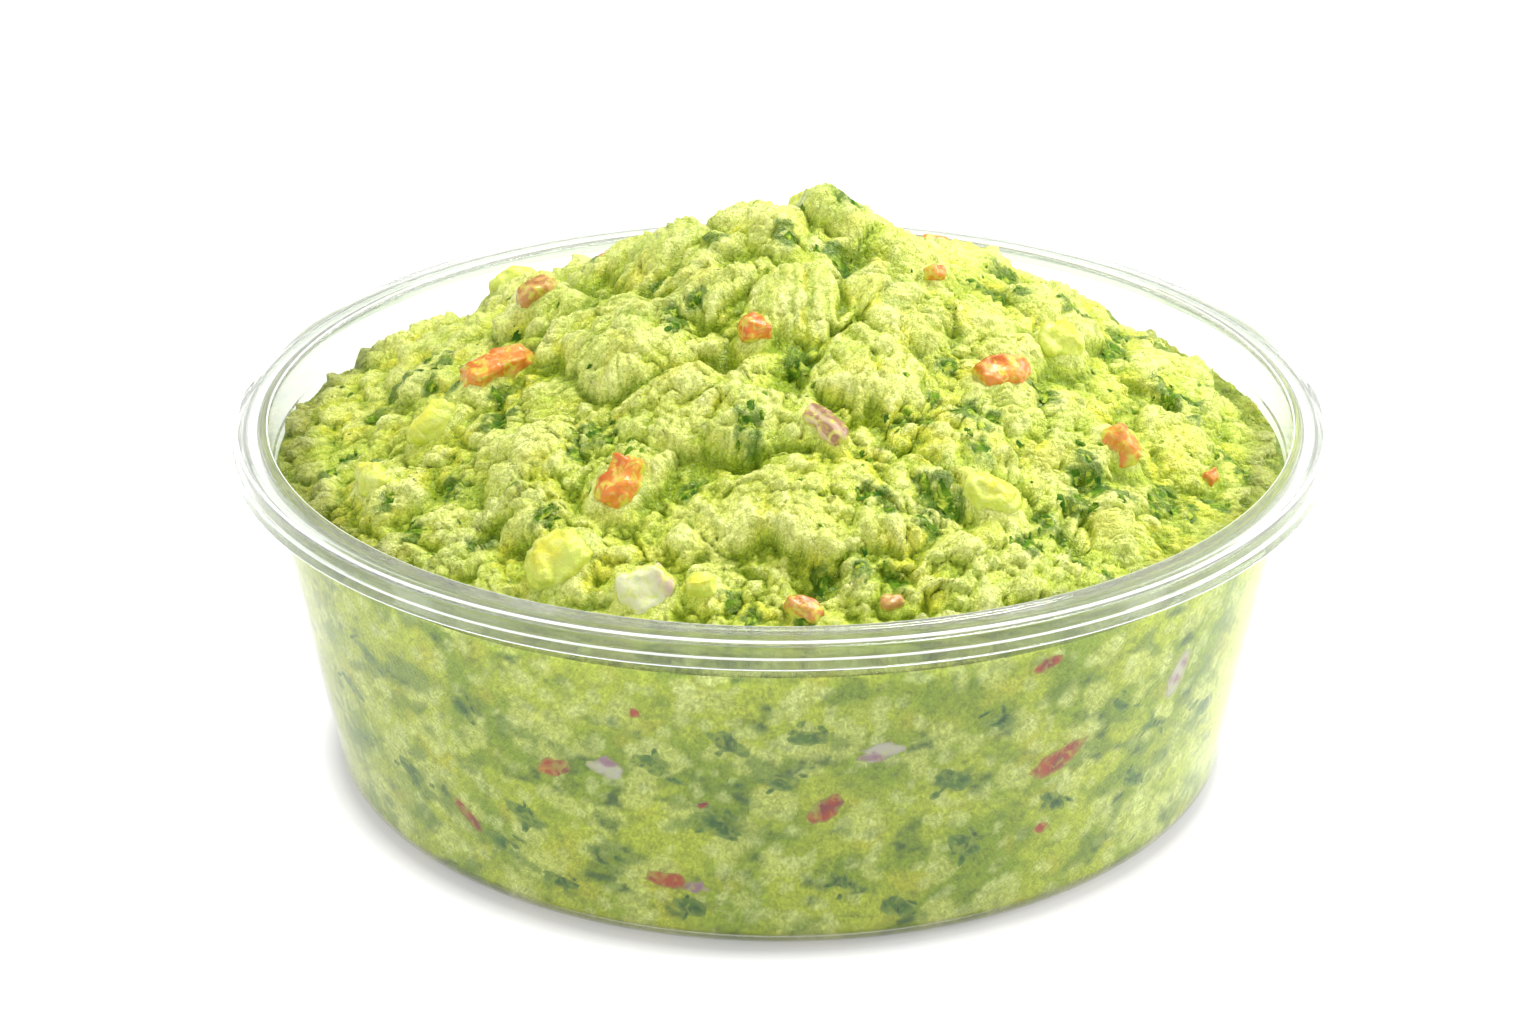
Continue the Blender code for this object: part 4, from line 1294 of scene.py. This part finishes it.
@dataclass
class Toppings:
    """The cut pieces that lie in the heap's surface."""

    form: HeapForm
    mash: MashColours

    def turned(self, morsel: Morsel, middle: Array) -> tuple[Array, Array]:
        """The turn that lays a piece on the slope, and the slope's normal, at a place in mm."""
        reach = 3.0
        x = middle[0] + reach * np.array([1, -1, 0, 0])
        y = middle[1] + reach * np.array([0, 0, 1, -1])
        east, west, north, south = self.form.large(x, y)[0]
        normal = np.array([-(east - west) / (2 * reach), -(north - south) / (2 * reach), 1.0])
        normal /= np.linalg.norm(normal)
        side = np.cross((0, 1, 0), normal)
        side /= np.linalg.norm(side)
        lie = np.stack([side, np.cross(normal, side), normal], 1)
        yaw, tilt = math.radians(morsel.yaw), math.radians(morsel.tilt)
        spin = np.array([[math.cos(yaw), -math.sin(yaw), 0], [math.sin(yaw), math.cos(yaw), 0], [0, 0, 1]])
        tip = np.array([[1, 0, 0], [0, math.cos(tilt), -math.sin(tilt)], [0, math.sin(tilt), math.cos(tilt)]])
        return lie @ spin @ tip, normal

    def middle(self, morsel: Morsel) -> Array:
        """The middle of a piece in mm: its node's box, or its own place on the heap."""
        if morsel.place is None:
            return np.add(*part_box(morsel.name)) / 2 / MM
        x, y = morsel.place
        height = self.form.large(np.array([x]), np.array([y]))[0][0] - self.form.fold_mean + 0.3
        return np.array([x, y, height + 0.2 * morsel.size[2]])

    def lay_beds(self) -> None:
        """Clears a level bed in the mash round each piece."""
        for morsel in (*NODE_MORSELS, *LOOSE_MORSELS):
            middle = self.middle(morsel)
            _, normal = self.turned(morsel, middle)
            depth = (-0.16 if morsel.kind is not Kind.AVOCADO else -0.08) * morsel.size[2]
            self.form.beds.append(
                Bed(middle, normal, morsel.size[0], morsel.size[1], math.radians(morsel.yaw), depth)
            )

    def shape(self, morsel: Morsel, count: int) -> tuple[Array, Array, Array]:
        """Points in mm, quads and colours of one piece."""
        soft = morsel.kind is Kind.AVOCADO
        block, quads = rounded_block(count, {Kind.AVOCADO: 2.3, Kind.ONION: 3.2, Kind.TOMATO: 4.0}[morsel.kind])
        half = np.array(morsel.size) / 2
        local = block * half
        seed = sum(map(ord, morsel.name)) * 7
        local[:, :2] *= 1 - 0.1 * block[:, 2:]
        push = np.stack([waves(local + seed, 3.2, 700 + n, 2) for n in range(3)], 1)
        local = local + (0.8 if soft else 0.6) * push
        local *= 1 + 0.06 * waves(local + seed, 1.2, 710, 3)[:, None]
        colour = getattr(self, morsel.kind.value)(local + seed, block, morsel.tone)
        turn, _ = self.turned(morsel, self.middle(morsel))
        placed = local @ turn.T + self.middle(morsel)
        smear = waves(local + seed, 1.6, 720, 3) - 0.7 * block[:, 2] + 0.1
        colour = mix(colour, self.mash.flesh * 0.9, 0.12 + 0.73 * smooth_step(smear, -0.1, 0.5))
        return placed, quads, colour

    def tomato(self, places: Array, block: Array, tone: float) -> Array:
        """Orange-red flesh with a redder skin side, and pale streaks that are partly pale flesh and partly painted wet
        highlights.
        """
        red = linear(200, 74, 18) if tone >= 0 else mix(linear(200, 74, 18), linear(140, 80, 40), -tone)
        flesh = linear(218, 118, 44) if tone >= 0 else mix(linear(218, 118, 44), linear(176, 122, 78), -tone)
        colour = mix(flesh, red, smooth_step(waves(places, 2.6, 731, 2) + 0.7 * block[:, 1], -0.3, 0.5))
        # Pale streaks: partly pale flesh, partly painted highlight.
        pale = smooth_step(waves(places * (0.6, 1.4, 1), 1.8, 741, 3), 0.15, 0.6)
        return mix(colour, linear(236, 186, 116), 0.6 * (1 - 0.6 * max(tone, 0)) * pale)

    def onion(self, places: Array, block: Array, tone: float) -> Array:
        """Layered onion: purple and white bands, or white with a purple end."""
        band = 0.5 + 0.5 * np.sin(6.0 * block[:, 1] + waves(places, 3.0, 751))
        dull = mix(linear(150, 98, 88), linear(206, 172, 156), smooth_step(band, 0.5, 0.9))
        white = mix(linear(226, 226, 190), linear(196, 160, 166), smooth_step(block[:, 0], 0.45, 0.95))
        white = mix(white, linear(204, 214, 150), 0.5 * smooth_step(waves(places, 2.0, 761), 0.0, 0.5))
        return mix(white, dull, np.full(len(places), 0.5 - 0.5 * tone))

    def avocado(self, places: Array, block: Array, tone: float) -> Array:
        """Firm flesh: yellow in the middle of its face and paler green at the edge."""
        yellow = mix(linear(222, 222, 78), linear(222, 214, 56), np.full(len(places), max(tone, 0)))
        edge = smooth_step(np.hypot(block[:, 0], block[:, 1]), 0.45, 0.95)
        colour = mix(yellow, linear(214, 226, 104), edge)
        return mix(colour, linear(240, 240, 170), 0.4 * smooth_step(waves(places, 1.6, 771, 2), 0.1, 0.6))

    def build(self) -> None:
        """Builds the pieces of the nodes one by one, and the loose ones as one mesh."""
        finishes = {
            Kind.TOMATO: morsel_finish("tomato_wet", 0.12, 0.5),
            Kind.ONION: morsel_finish("onion_wet", 0.18, 0.3),
            Kind.AVOCADO: morsel_finish("avocado_wet", 0.2, 0.9),
        }
        for morsel in NODE_MORSELS:
            points, quads, colour = self.shape(morsel, 22)
            piece = mesh_piece(morsel.name + "_cut", points * MM, quads, None, colour)
            piece.data.materials.append(finishes[morsel.kind])
            declare(piece, Slot(morsel.kind.value), morsel.name)
        for kind in Kind:
            piece = joined(kind.value + "_small", [self.shape(morsel, 14) for morsel in LOOSE_MORSELS if morsel.kind is kind])
            piece.data.materials.append(finishes[kind])
            declare(piece, Slot(kind.value))


def joined(name: str, parts: Sequence[tuple]) -> bpy.types.Object:
    """One piece from many sets of points in mm, quads and colours."""
    points, quads, colours, start = [], [], [], 0
    for part_points, part_quads, part_colour in parts:
        points.append(part_points)
        quads.append(part_quads + start)
        colours.append(part_colour)
        start += len(part_points)
    return mesh_piece(name, np.concatenate(points) * MM, np.concatenate(quads), None, np.concatenate(colours))


@dataclass(frozen=True)
class Flake:
    """A torn leaf or a pressed bit: a thin rounded patch. Lengths in mm, angles in radians."""

    x: float
    y: float
    length: float
    width: float
    yaw: float
    seed: int


def leaf_grid(flake: Flake, rings: int = 3, spokes: int = 14) -> tuple[Array, Array, Array]:
    """The ragged outline of a patch in its own plane, as rings of points round its middle.

    Args:
        flake: The patch.
        rings: Rings of points.
        spokes: Points on each ring.

    Returns:
        The points' two coordinates in mm, how far out each lies from 0 to 1, and quads.
    """
    angle = np.linspace(0, 2 * math.pi, spokes, endpoint=False)
    out = np.linspace(0.06, 1, rings + 1)
    circle = np.stack([np.cos(angle), np.sin(angle), np.full(spokes, flake.seed * 3.7)], 1)
    ragged = 1 + 0.38 * waves(circle, 0.7, 801, 3)
    radius = out[:, None] * (1 + (ragged - 1) * out[:, None])
    a = 0.5 * flake.length * radius * np.cos(angle)
    b = 0.5 * flake.width * radius * np.sin(angle)
    flat = np.stack([a * math.cos(flake.yaw) - b * math.sin(flake.yaw), a * math.sin(flake.yaw) + b * math.cos(flake.yaw)], -1)
    across = np.arange(spokes // 2 - 1)
    middle = np.stack([across, across + 1, spokes - 2 - across, spokes - 1 - across], 1)
    quads = np.concatenate([grid_quads(rings + 1, spokes, closed=True)[:, ::-1], middle])
    return flat.reshape(-1, 2), np.repeat(out, spokes), quads


@dataclass
class Herbs:
    """Torn leaf flakes in the surface of the heap."""

    form: HeapForm
    mash: Mash
    count: int = 230
    named: tuple = (
        (-54.1, -18.8, 3.6), (-37.1, -21.9, 4.2), (-4.2, -36.8, 3.8), (20.6, -43.4, 4.6), (34.1, -41.4, 3.6),
        (50.3, -28.7, 4.6), (-24.6, -31.0, 4.4), (40.4, -32.8, 4.0), (9.7, -54.0, 3.2), (-37.5, -42.0, 4.0),
        (-47.0, -38.0, 3.4), (-14.0, -18.0, 3.2), (9.0, 1.0, 3.6), (7.5, -6.0, 4.0), (24.0, -30.0, 4.4),
        (12.0, -46.0, 3.4), (31.0, -47.0, 3.6), (57.0, -25.0, 3.6), (-58.0, -14.0, 3.0), (-30.0, -44.0, 3.2),
        (46.0, 2.0, 3.6), (28.0, 0.0, 3.4), (-42.0, -33.0, 3.6), (16.0, -33.0, 3.0), (60.0, -12.0, 3.4),
        (-6.0, -8.5, 2.6), (-30.0, 2.0, 2.6), (-50.0, -3.0, 3.0), (38.0, -36.5, 3.4), (44.0, -34.0, 3.2),
    )

    def flakes(self) -> list[Flake]:
        """The named flakes with two or three fragments by each, and others scattered evenly."""
        chosen = []
        turn = 2.75
        behind = [
            (0.92 * (x * math.cos(turn) - y * math.sin(turn)), 0.92 * (x * math.sin(turn) + y * math.cos(turn)), size)
            for x, y, size in self.named if y < -12
        ]
        for index, (x, y, size) in enumerate((*self.named, *behind)):
            draw = chance(np.arange(40), np.full(40, index), salt=901)
            for part in range(7):
                far = (0.25 + 0.6 * draw[5 * part + 4]) * size * (part > 0)
                turn = 2 * math.pi * draw[5 * part]
                length = size * (0.95 if part == 0 else 0.2 + 0.4 * draw[5 * part + 1])
                width = length * (0.35 + 0.35 * draw[5 * part + 2])
                place = (x + far * math.cos(turn), y + 0.8 * far * math.sin(turn))
                chosen.append(Flake(*place, length, width, math.pi * draw[5 * part + 3], 10 * index + part))
        for step in range(self.count):
            draw = chance(np.arange(6), np.full(6, step), salt=951)
            radius = 64 * math.sqrt((step + draw[0]) / self.count)
            turn = step * GOLDEN_ANGLE + 0.6 * draw[1]
            length = 0.9 + 2.4 * draw[2] ** 2
            x, y = radius * math.cos(turn), radius * math.sin(turn)
            chosen.append(Flake(x, y, length, length * (0.35 + 0.4 * draw[3]), math.pi * draw[4], 1000 + step))
        return [flake for flake in chosen if not self.on_bed(flake)]

    def on_bed(self, flake: Flake) -> bool:
        """Whether a flake would lie on a topping."""
        place = np.array([flake.x]), np.array([flake.y])
        return any(bed.share(*place)[0][0] > 0.5 for bed in self.form.beds)

    def stain_mash(self) -> None:
        """Leaves green juice in the mash round the larger flakes."""
        for flake in self.flakes():
            if flake.length > 2.0:
                self.form.stains.append((flake.x, flake.y, 0.8 * flake.length))

    def build(self) -> bpy.types.Object:
        """Lays the flakes on the heap's grid, each dipping in and out of the mash."""
        grid, normal = self.mash.grid / MM, self.mash.normal
        smooth = np.stack([self.mash.blurred(grid[..., k], 2) for k in range(3)], -1)
        up = np.stack([self.mash.blurred(normal[..., k], 2) for k in range(3)], -1)
        step_row, step_column = np.gradient(smooth, axis=0), np.gradient(smooth, axis=1)
        rows, columns = grid.shape[:2]
        parts = []
        for flake in self.flakes():
            near = np.argmin((smooth[..., 0] - flake.x) ** 2 + (smooth[..., 1] - flake.y) ** 2)
            row, column = divmod(int(near), columns)
            flat, out, quads = leaf_grid(flake)
            metric = np.stack([step_column[row, column][:2], step_row[row, column][:2]], 1)
            shift = np.linalg.solve(metric + 1e-9 * np.eye(2), flat.T).T
            c = np.clip(column + shift[:, 0], 0, columns - 1.001)
            r = np.clip(row + shift[:, 1], 0, rows - 1.001)
            base = self.sampled(0.5 * (smooth + grid), r, c)
            lift = 0.16 + 0.3 * waves(np.column_stack([flat, np.full(len(flat), flake.seed * 5.1)]), 1.6, 811, 2) - 0.2 * out**2
            points = base + self.sampled(up, r, c) * lift[:, None]
            tone = waves(points, 1.3, 821, 2)
            colour = mix(linear(48, 92, 0), linear(98, 136, 14), smooth_step(tone, -0.4, 0.5))
            parts.append((points, quads, colour))
        piece = joined("herb_flakes", parts)
        piece.data.materials.append(morsel_finish("herb_leaf", 0.5, 0.8, 0.15))
        return piece

    @staticmethod
    def sampled(grid: Array, r: Array, c: Array) -> Array:
        """Values between a grid's points, by weighting the four that are nearest."""
        i, j = r.astype(int), c.astype(int)
        s, t = (r - i)[:, None], (c - j)[:, None]
        top = grid[i, j] * (1 - t) + grid[i, j + 1] * t
        low = grid[i + 1, j] * (1 - t) + grid[i + 1, j + 1] * t
        return top * (1 - s) + low * s


@dataclass
class PressedBits:
    """Bits of tomato, onion and leaf pressed against the wall, seen through it."""

    tub: TubSizes
    inset: float = 0.68 * MM
    tomatoes: tuple = (
        (-28.5, 25.3, 5.2, 2.8, 0.4), (5.4, 22.5, 5.2, 3.4, 1.0), (34.8, 24.7, 8.4, 3.4, 0.45), (33.1, 14.1, 2.4, 1.8, 0.0),
        (-40.3, 12.9, 5.4, 2.0, -0.9), (-14.5, 10.3, 5.6, 2.4, -0.1), (-18.1, 36.2, 1.6, 1.4, 0.0), (-9.8, 22.9, 2.0, 0.8, 0.5),
        (32.9, 40.4, 4.0, 1.8, 0.2),
    )
    onions: tuple = (
        (-21.7, 26.9, 5.0, 3.2, 0.0), (12.1, 30.9, 7.0, 2.4, 0.15), (50.8, 30.5, 6.4, 3.6, 1.2), (-10.8, 9.6, 3.6, 1.8, 0.0),
    )
    leaves: tuple = (
        (-53.2, 32.1), (-40.4, 30.8), (-47.7, 15.4), (-32.6, 16.5), (-8.0, 19.8), (-6.6, 32.7), (3.5, 33.6), (21.3, 25.2),
        (23.0, 14.3), (14.6, 5.9), (34.6, 18.0), (42.8, 30.0), (55.3, 21.2), (45.5, 16.4), (-23.1, 12.3), (-11.6, 6.3),
        (-28.5, 7.0), (-56.0, 24.0), (27.0, 33.0), (0.0, 27.0), (48.0, 24.0), (-16.0, 28.5), (-36.0, 10.5), (8.0, 10.5),
    )

    def patch(self, turn: float, height: float, flake: Flake, lift: float = 0.0) -> tuple[Array, Array, Array]:
        """A patch on the wall's inner face at an angle and height: points in mm, out and quads."""
        flat, out, quads = leaf_grid(flake, rings=4, spokes=16)
        z = height + flat[:, 1]
        radius = self.tub.inner_radius(z * MM, self.inset - lift * MM) / MM
        angle = turn + flat[:, 0] / radius
        return np.stack([radius * np.cos(angle), radius * np.sin(angle), z], 1), out, quads

    def bits(self, table: tuple, salt: int, spare: int) -> list[tuple[float, Flake, float]]:
        """The listed bits at the front and more like them round the sides and the back."""
        found = []
        for index, (x, z, length, width, yaw) in enumerate(table):
            radius = self.tub.inner_radius(z * MM, self.inset) / MM
            found.append((-math.acos(x / radius), z, Flake(0, 0, length, width, yaw, salt + index)))
        for step in range(spare):
            draw = chance(np.arange(5), np.full(5, step), salt=salt)
            turn = -0.2 + (math.pi + 0.4) * (step + draw[0]) / spare
            length = 2.2 + 4.5 * draw[1]
            flake = Flake(0, 0, length, length * (0.4 + 0.3 * draw[2]), 3 * draw[3], salt + 50 + step)
            found.append((turn, 8 + 30 * draw[4], flake))
        return found

    def build(self) -> list[tuple[bpy.types.Object, Slot]]:
        """Builds the three kinds, each as one mesh."""
        red, white, green = [], [], []
        for turn, z, flake in self.bits(self.tomatoes, 1100, 12):
            points, out, quads = self.patch(turn, z, flake)
            colour = mix(linear(188, 76, 42), linear(148, 62, 60), smooth_step(waves(points, 2.4, 831, 2), -0.3, 0.5))
            red.append((points, quads, mix(colour, linear(160, 160, 70), smooth_step(out + 0.45 * waves(points, 1.2, 833, 2), 0.7, 1.15))))
        for turn, z, flake in self.bits(self.onions, 1200, 7):
            points, out, quads = self.patch(turn, z, flake)
            colour = mix(linear(206, 200, 190), linear(168, 124, 150), smooth_step(waves(points, 1.8, 841, 2), -0.2, 0.4))
            white.append((points, quads, mix(colour, linear(160, 166, 96), smooth_step(out + 0.45 * waves(points, 1.2, 843, 2), 0.7, 1.15))))
        table = []
        for i, (x, z) in enumerate(self.leaves):
            draw = chance(np.arange(20), np.full(20, i), salt=1400)
            table.append((x, z, 3.4 + 2.8 * draw[0], 1.6 + 1.4 * draw[1], 0.8 * draw[2] - 0.7))
            for n in range(3, 15, 4):
                place = x + 5.5 * (draw[n] - 0.5), z + 4.5 * (draw[n + 1] - 0.5)
                table.append((*place, 0.9 + 1.6 * draw[n + 2], 0.5 + 0.6 * draw[n + 3], 3 * draw[n]))
        for turn, z, flake in self.bits(tuple(table), 1300, 90):
            points, out, quads = self.patch(turn, z, flake)
            colour = mix(linear(40, 92, 26), linear(84, 128, 34), smooth_step(waves(points, 1.5, 851, 2), -0.3, 0.4))
            green.append((points, quads, mix(colour, linear(128, 154, 60), smooth_step(out + 0.6 * waves(points, 0.9, 853, 2), 0.45, 1.0))))
        pieces = []
        for name, parts, slot in (
            ("tomato_pressed", red, Slot.TOMATO), ("onion_pressed", white, Slot.ONION), ("herb_pressed", green, Slot.MASH)
        ):
            piece = joined(name, parts)
            piece.data.materials.append(morsel_finish(name, 0.4, 0.2, 0.5, 0.4))
            pieces.append((piece, slot))
        return pieces


# ---------------------------------------------------------------------------------------------
# The stage
# ---------------------------------------------------------------------------------------------


@dataclass
class Stage:
    """Floor, soft lights and camera."""

    tub: TubSizes

    def floor(self) -> bpy.types.Object:
        """A plain pale floor whose glow dims close round the tub's foot as a painted contact shadow."""
        piece = mesh_piece("floor", np.array([(-3, -3, 0), (3, -3, 0), (3, 3, 0), (-3, 3, 0)], float), np.array([[0, 1, 2, 3]]))
        nodes = Nodes("pale_floor_painted_contact_shadow")
        nodes.shader.inputs["Base Color"].default_value = (0.55, 0.53, 0.57, 1)
        nodes.shader.inputs["Roughness"].default_value = 0.7
        nodes.shader.inputs["Specular IOR Level"].default_value = 0.1
        nodes.shader.inputs["Emission Color"].default_value = (1, 1, 1, 1)
        middle = nodes.add("ShaderNodeVectorMath", operation="LENGTH")
        nodes.join(nodes.add("ShaderNodeTexCoord").outputs["Object"], middle.inputs[0])
        # Painted contact shadow: the floor's glow falls from 0.8 to 0.3 within 3.8 mm of the tub's foot.
        rim = self.tub.outer_radius(0.0)
        near = nodes.ranged(middle.outputs["Value"], rim, rim + 3.8 * MM, 0.3, 0.8)
        nodes.join(near, nodes.shader.inputs["Emission Strength"])
        piece.data.materials.append(nodes.material)
        return piece

    def lamp(self, name: str, place: Sequence[float], size: float, power: float, target: Sequence[float]) -> None:
        """A square soft light that faces a target."""
        data = bpy.data.lights.new(name, "AREA")
        data.shape = "SQUARE"
        data.size = size
        data.energy = power
        lamp = bpy.data.objects.new(name, data)
        bpy.context.scene.collection.objects.link(lamp)
        lamp.location = place
        aim = np.array(target) - np.array(place)
        lamp.rotation_euler = direction_angles(aim)

    def sky(self) -> None:
        """A white surround: full white to the eye, dimmer in gloss and softer as light on matt surfaces."""
        world = bpy.data.worlds.new("surround")
        bpy.context.scene.world = world
        world.use_nodes = True
        tree = world.node_tree
        back = tree.nodes["Background"]
        path = tree.nodes.new("ShaderNodeLightPath")
        level = tree.nodes.new("ShaderNodeMapRange")
        level.inputs["To Min"].default_value = 1.02
        level.inputs["To Max"].default_value = 0.79
        gloss = tree.nodes.new("ShaderNodeMath")
        gloss.operation = "MULTIPLY_ADD"
        gloss.inputs[1].default_value = -0.42
        tree.links.new(path.outputs["Is Diffuse Ray"], level.inputs["Value"])
        tree.links.new(path.outputs["Is Glossy Ray"], gloss.inputs[0])
        tree.links.new(level.outputs["Result"], gloss.inputs[2])
        tree.links.new(gloss.outputs["Value"], back.inputs["Strength"])
        back.inputs["Color"].default_value = (1, 1, 1, 1)

    def camera(self) -> None:
        """The camera: a long lens, looking 23 degrees down on the heap."""
        lip = self.tub.lip
        eye = np.array([-1.7 * MM, -482.9 * MM, lip + 205.9 * MM])
        target = np.array([-1.7 * MM, 0.0, lip - 13.0 * MM])
        data = bpy.data.cameras.new("camera")
        data.lens = 89.4
        data.sensor_width = 36.0
        data.clip_start = 0.01
        camera = bpy.data.objects.new("camera", data)
        bpy.context.scene.collection.objects.link(camera)
        camera.location = eye
        camera.rotation_euler = direction_angles(target - eye)
        bpy.context.scene.camera = camera

    def build(self) -> None:
        """Builds the stage."""
        self.floor()
        self.sky()
        self.lamp("key", (0.18, 0.2, 0.7), 0.22, 4.3, (0, 0, 0.05))
        self.lamp("fill_light", (-0.5, -0.45, 0.45), 0.5, 1.0, (0, 0, 0.05))
        self.lamp("side_light", (0.55, 0.05, 0.35), 0.3, 2.3, (0.03, 0, 0.06))
        self.camera()
        bpy.context.scene.view_settings.view_transform = "Standard"


def direction_angles(aim: Array) -> tuple[float, float, float]:
    """The turns that make a lamp or camera look along a direction with its top upward."""
    flat = math.hypot(aim[0], aim[1])
    return (math.pi / 2 + math.atan2(aim[2], flat), 0.0, math.atan2(aim[1], aim[0]) - math.pi / 2)


def declare(piece: bpy.types.Object, slot: Slot, *nodes: str) -> None:
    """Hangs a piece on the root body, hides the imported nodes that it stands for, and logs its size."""
    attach(piece, "root")
    if nodes:
        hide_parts(*nodes)
    LOG.info("%s: %d points, %d faces", piece.name, len(piece.data.vertices), len(piece.data.polygons))


def main() -> None:
    """Builds the pieces in order."""
    logging.basicConfig(level=logging.INFO, format="%(message)s")
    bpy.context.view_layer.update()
    tub = TubSizes.from_frame()
    Stage(tub).build()
    shell = ClearTub(tub).build()
    declare(shell, Slot.CLEAR, "tub")
    form = HeapForm(tub)
    mash = Mash(form)
    toppings = Toppings(form, mash.colours)
    herbs = Herbs(form, mash)
    toppings.lay_beds()
    herbs.stain_mash()
    for piece in mash.build():
        declare(piece, Slot.MASH, "guacamole")
    toppings.build()
    declare(herbs.build(), Slot.MASH)
    for piece, slot in PressedBits(tub).build():
        declare(piece, slot)


if __name__ == "__main__":
    main()
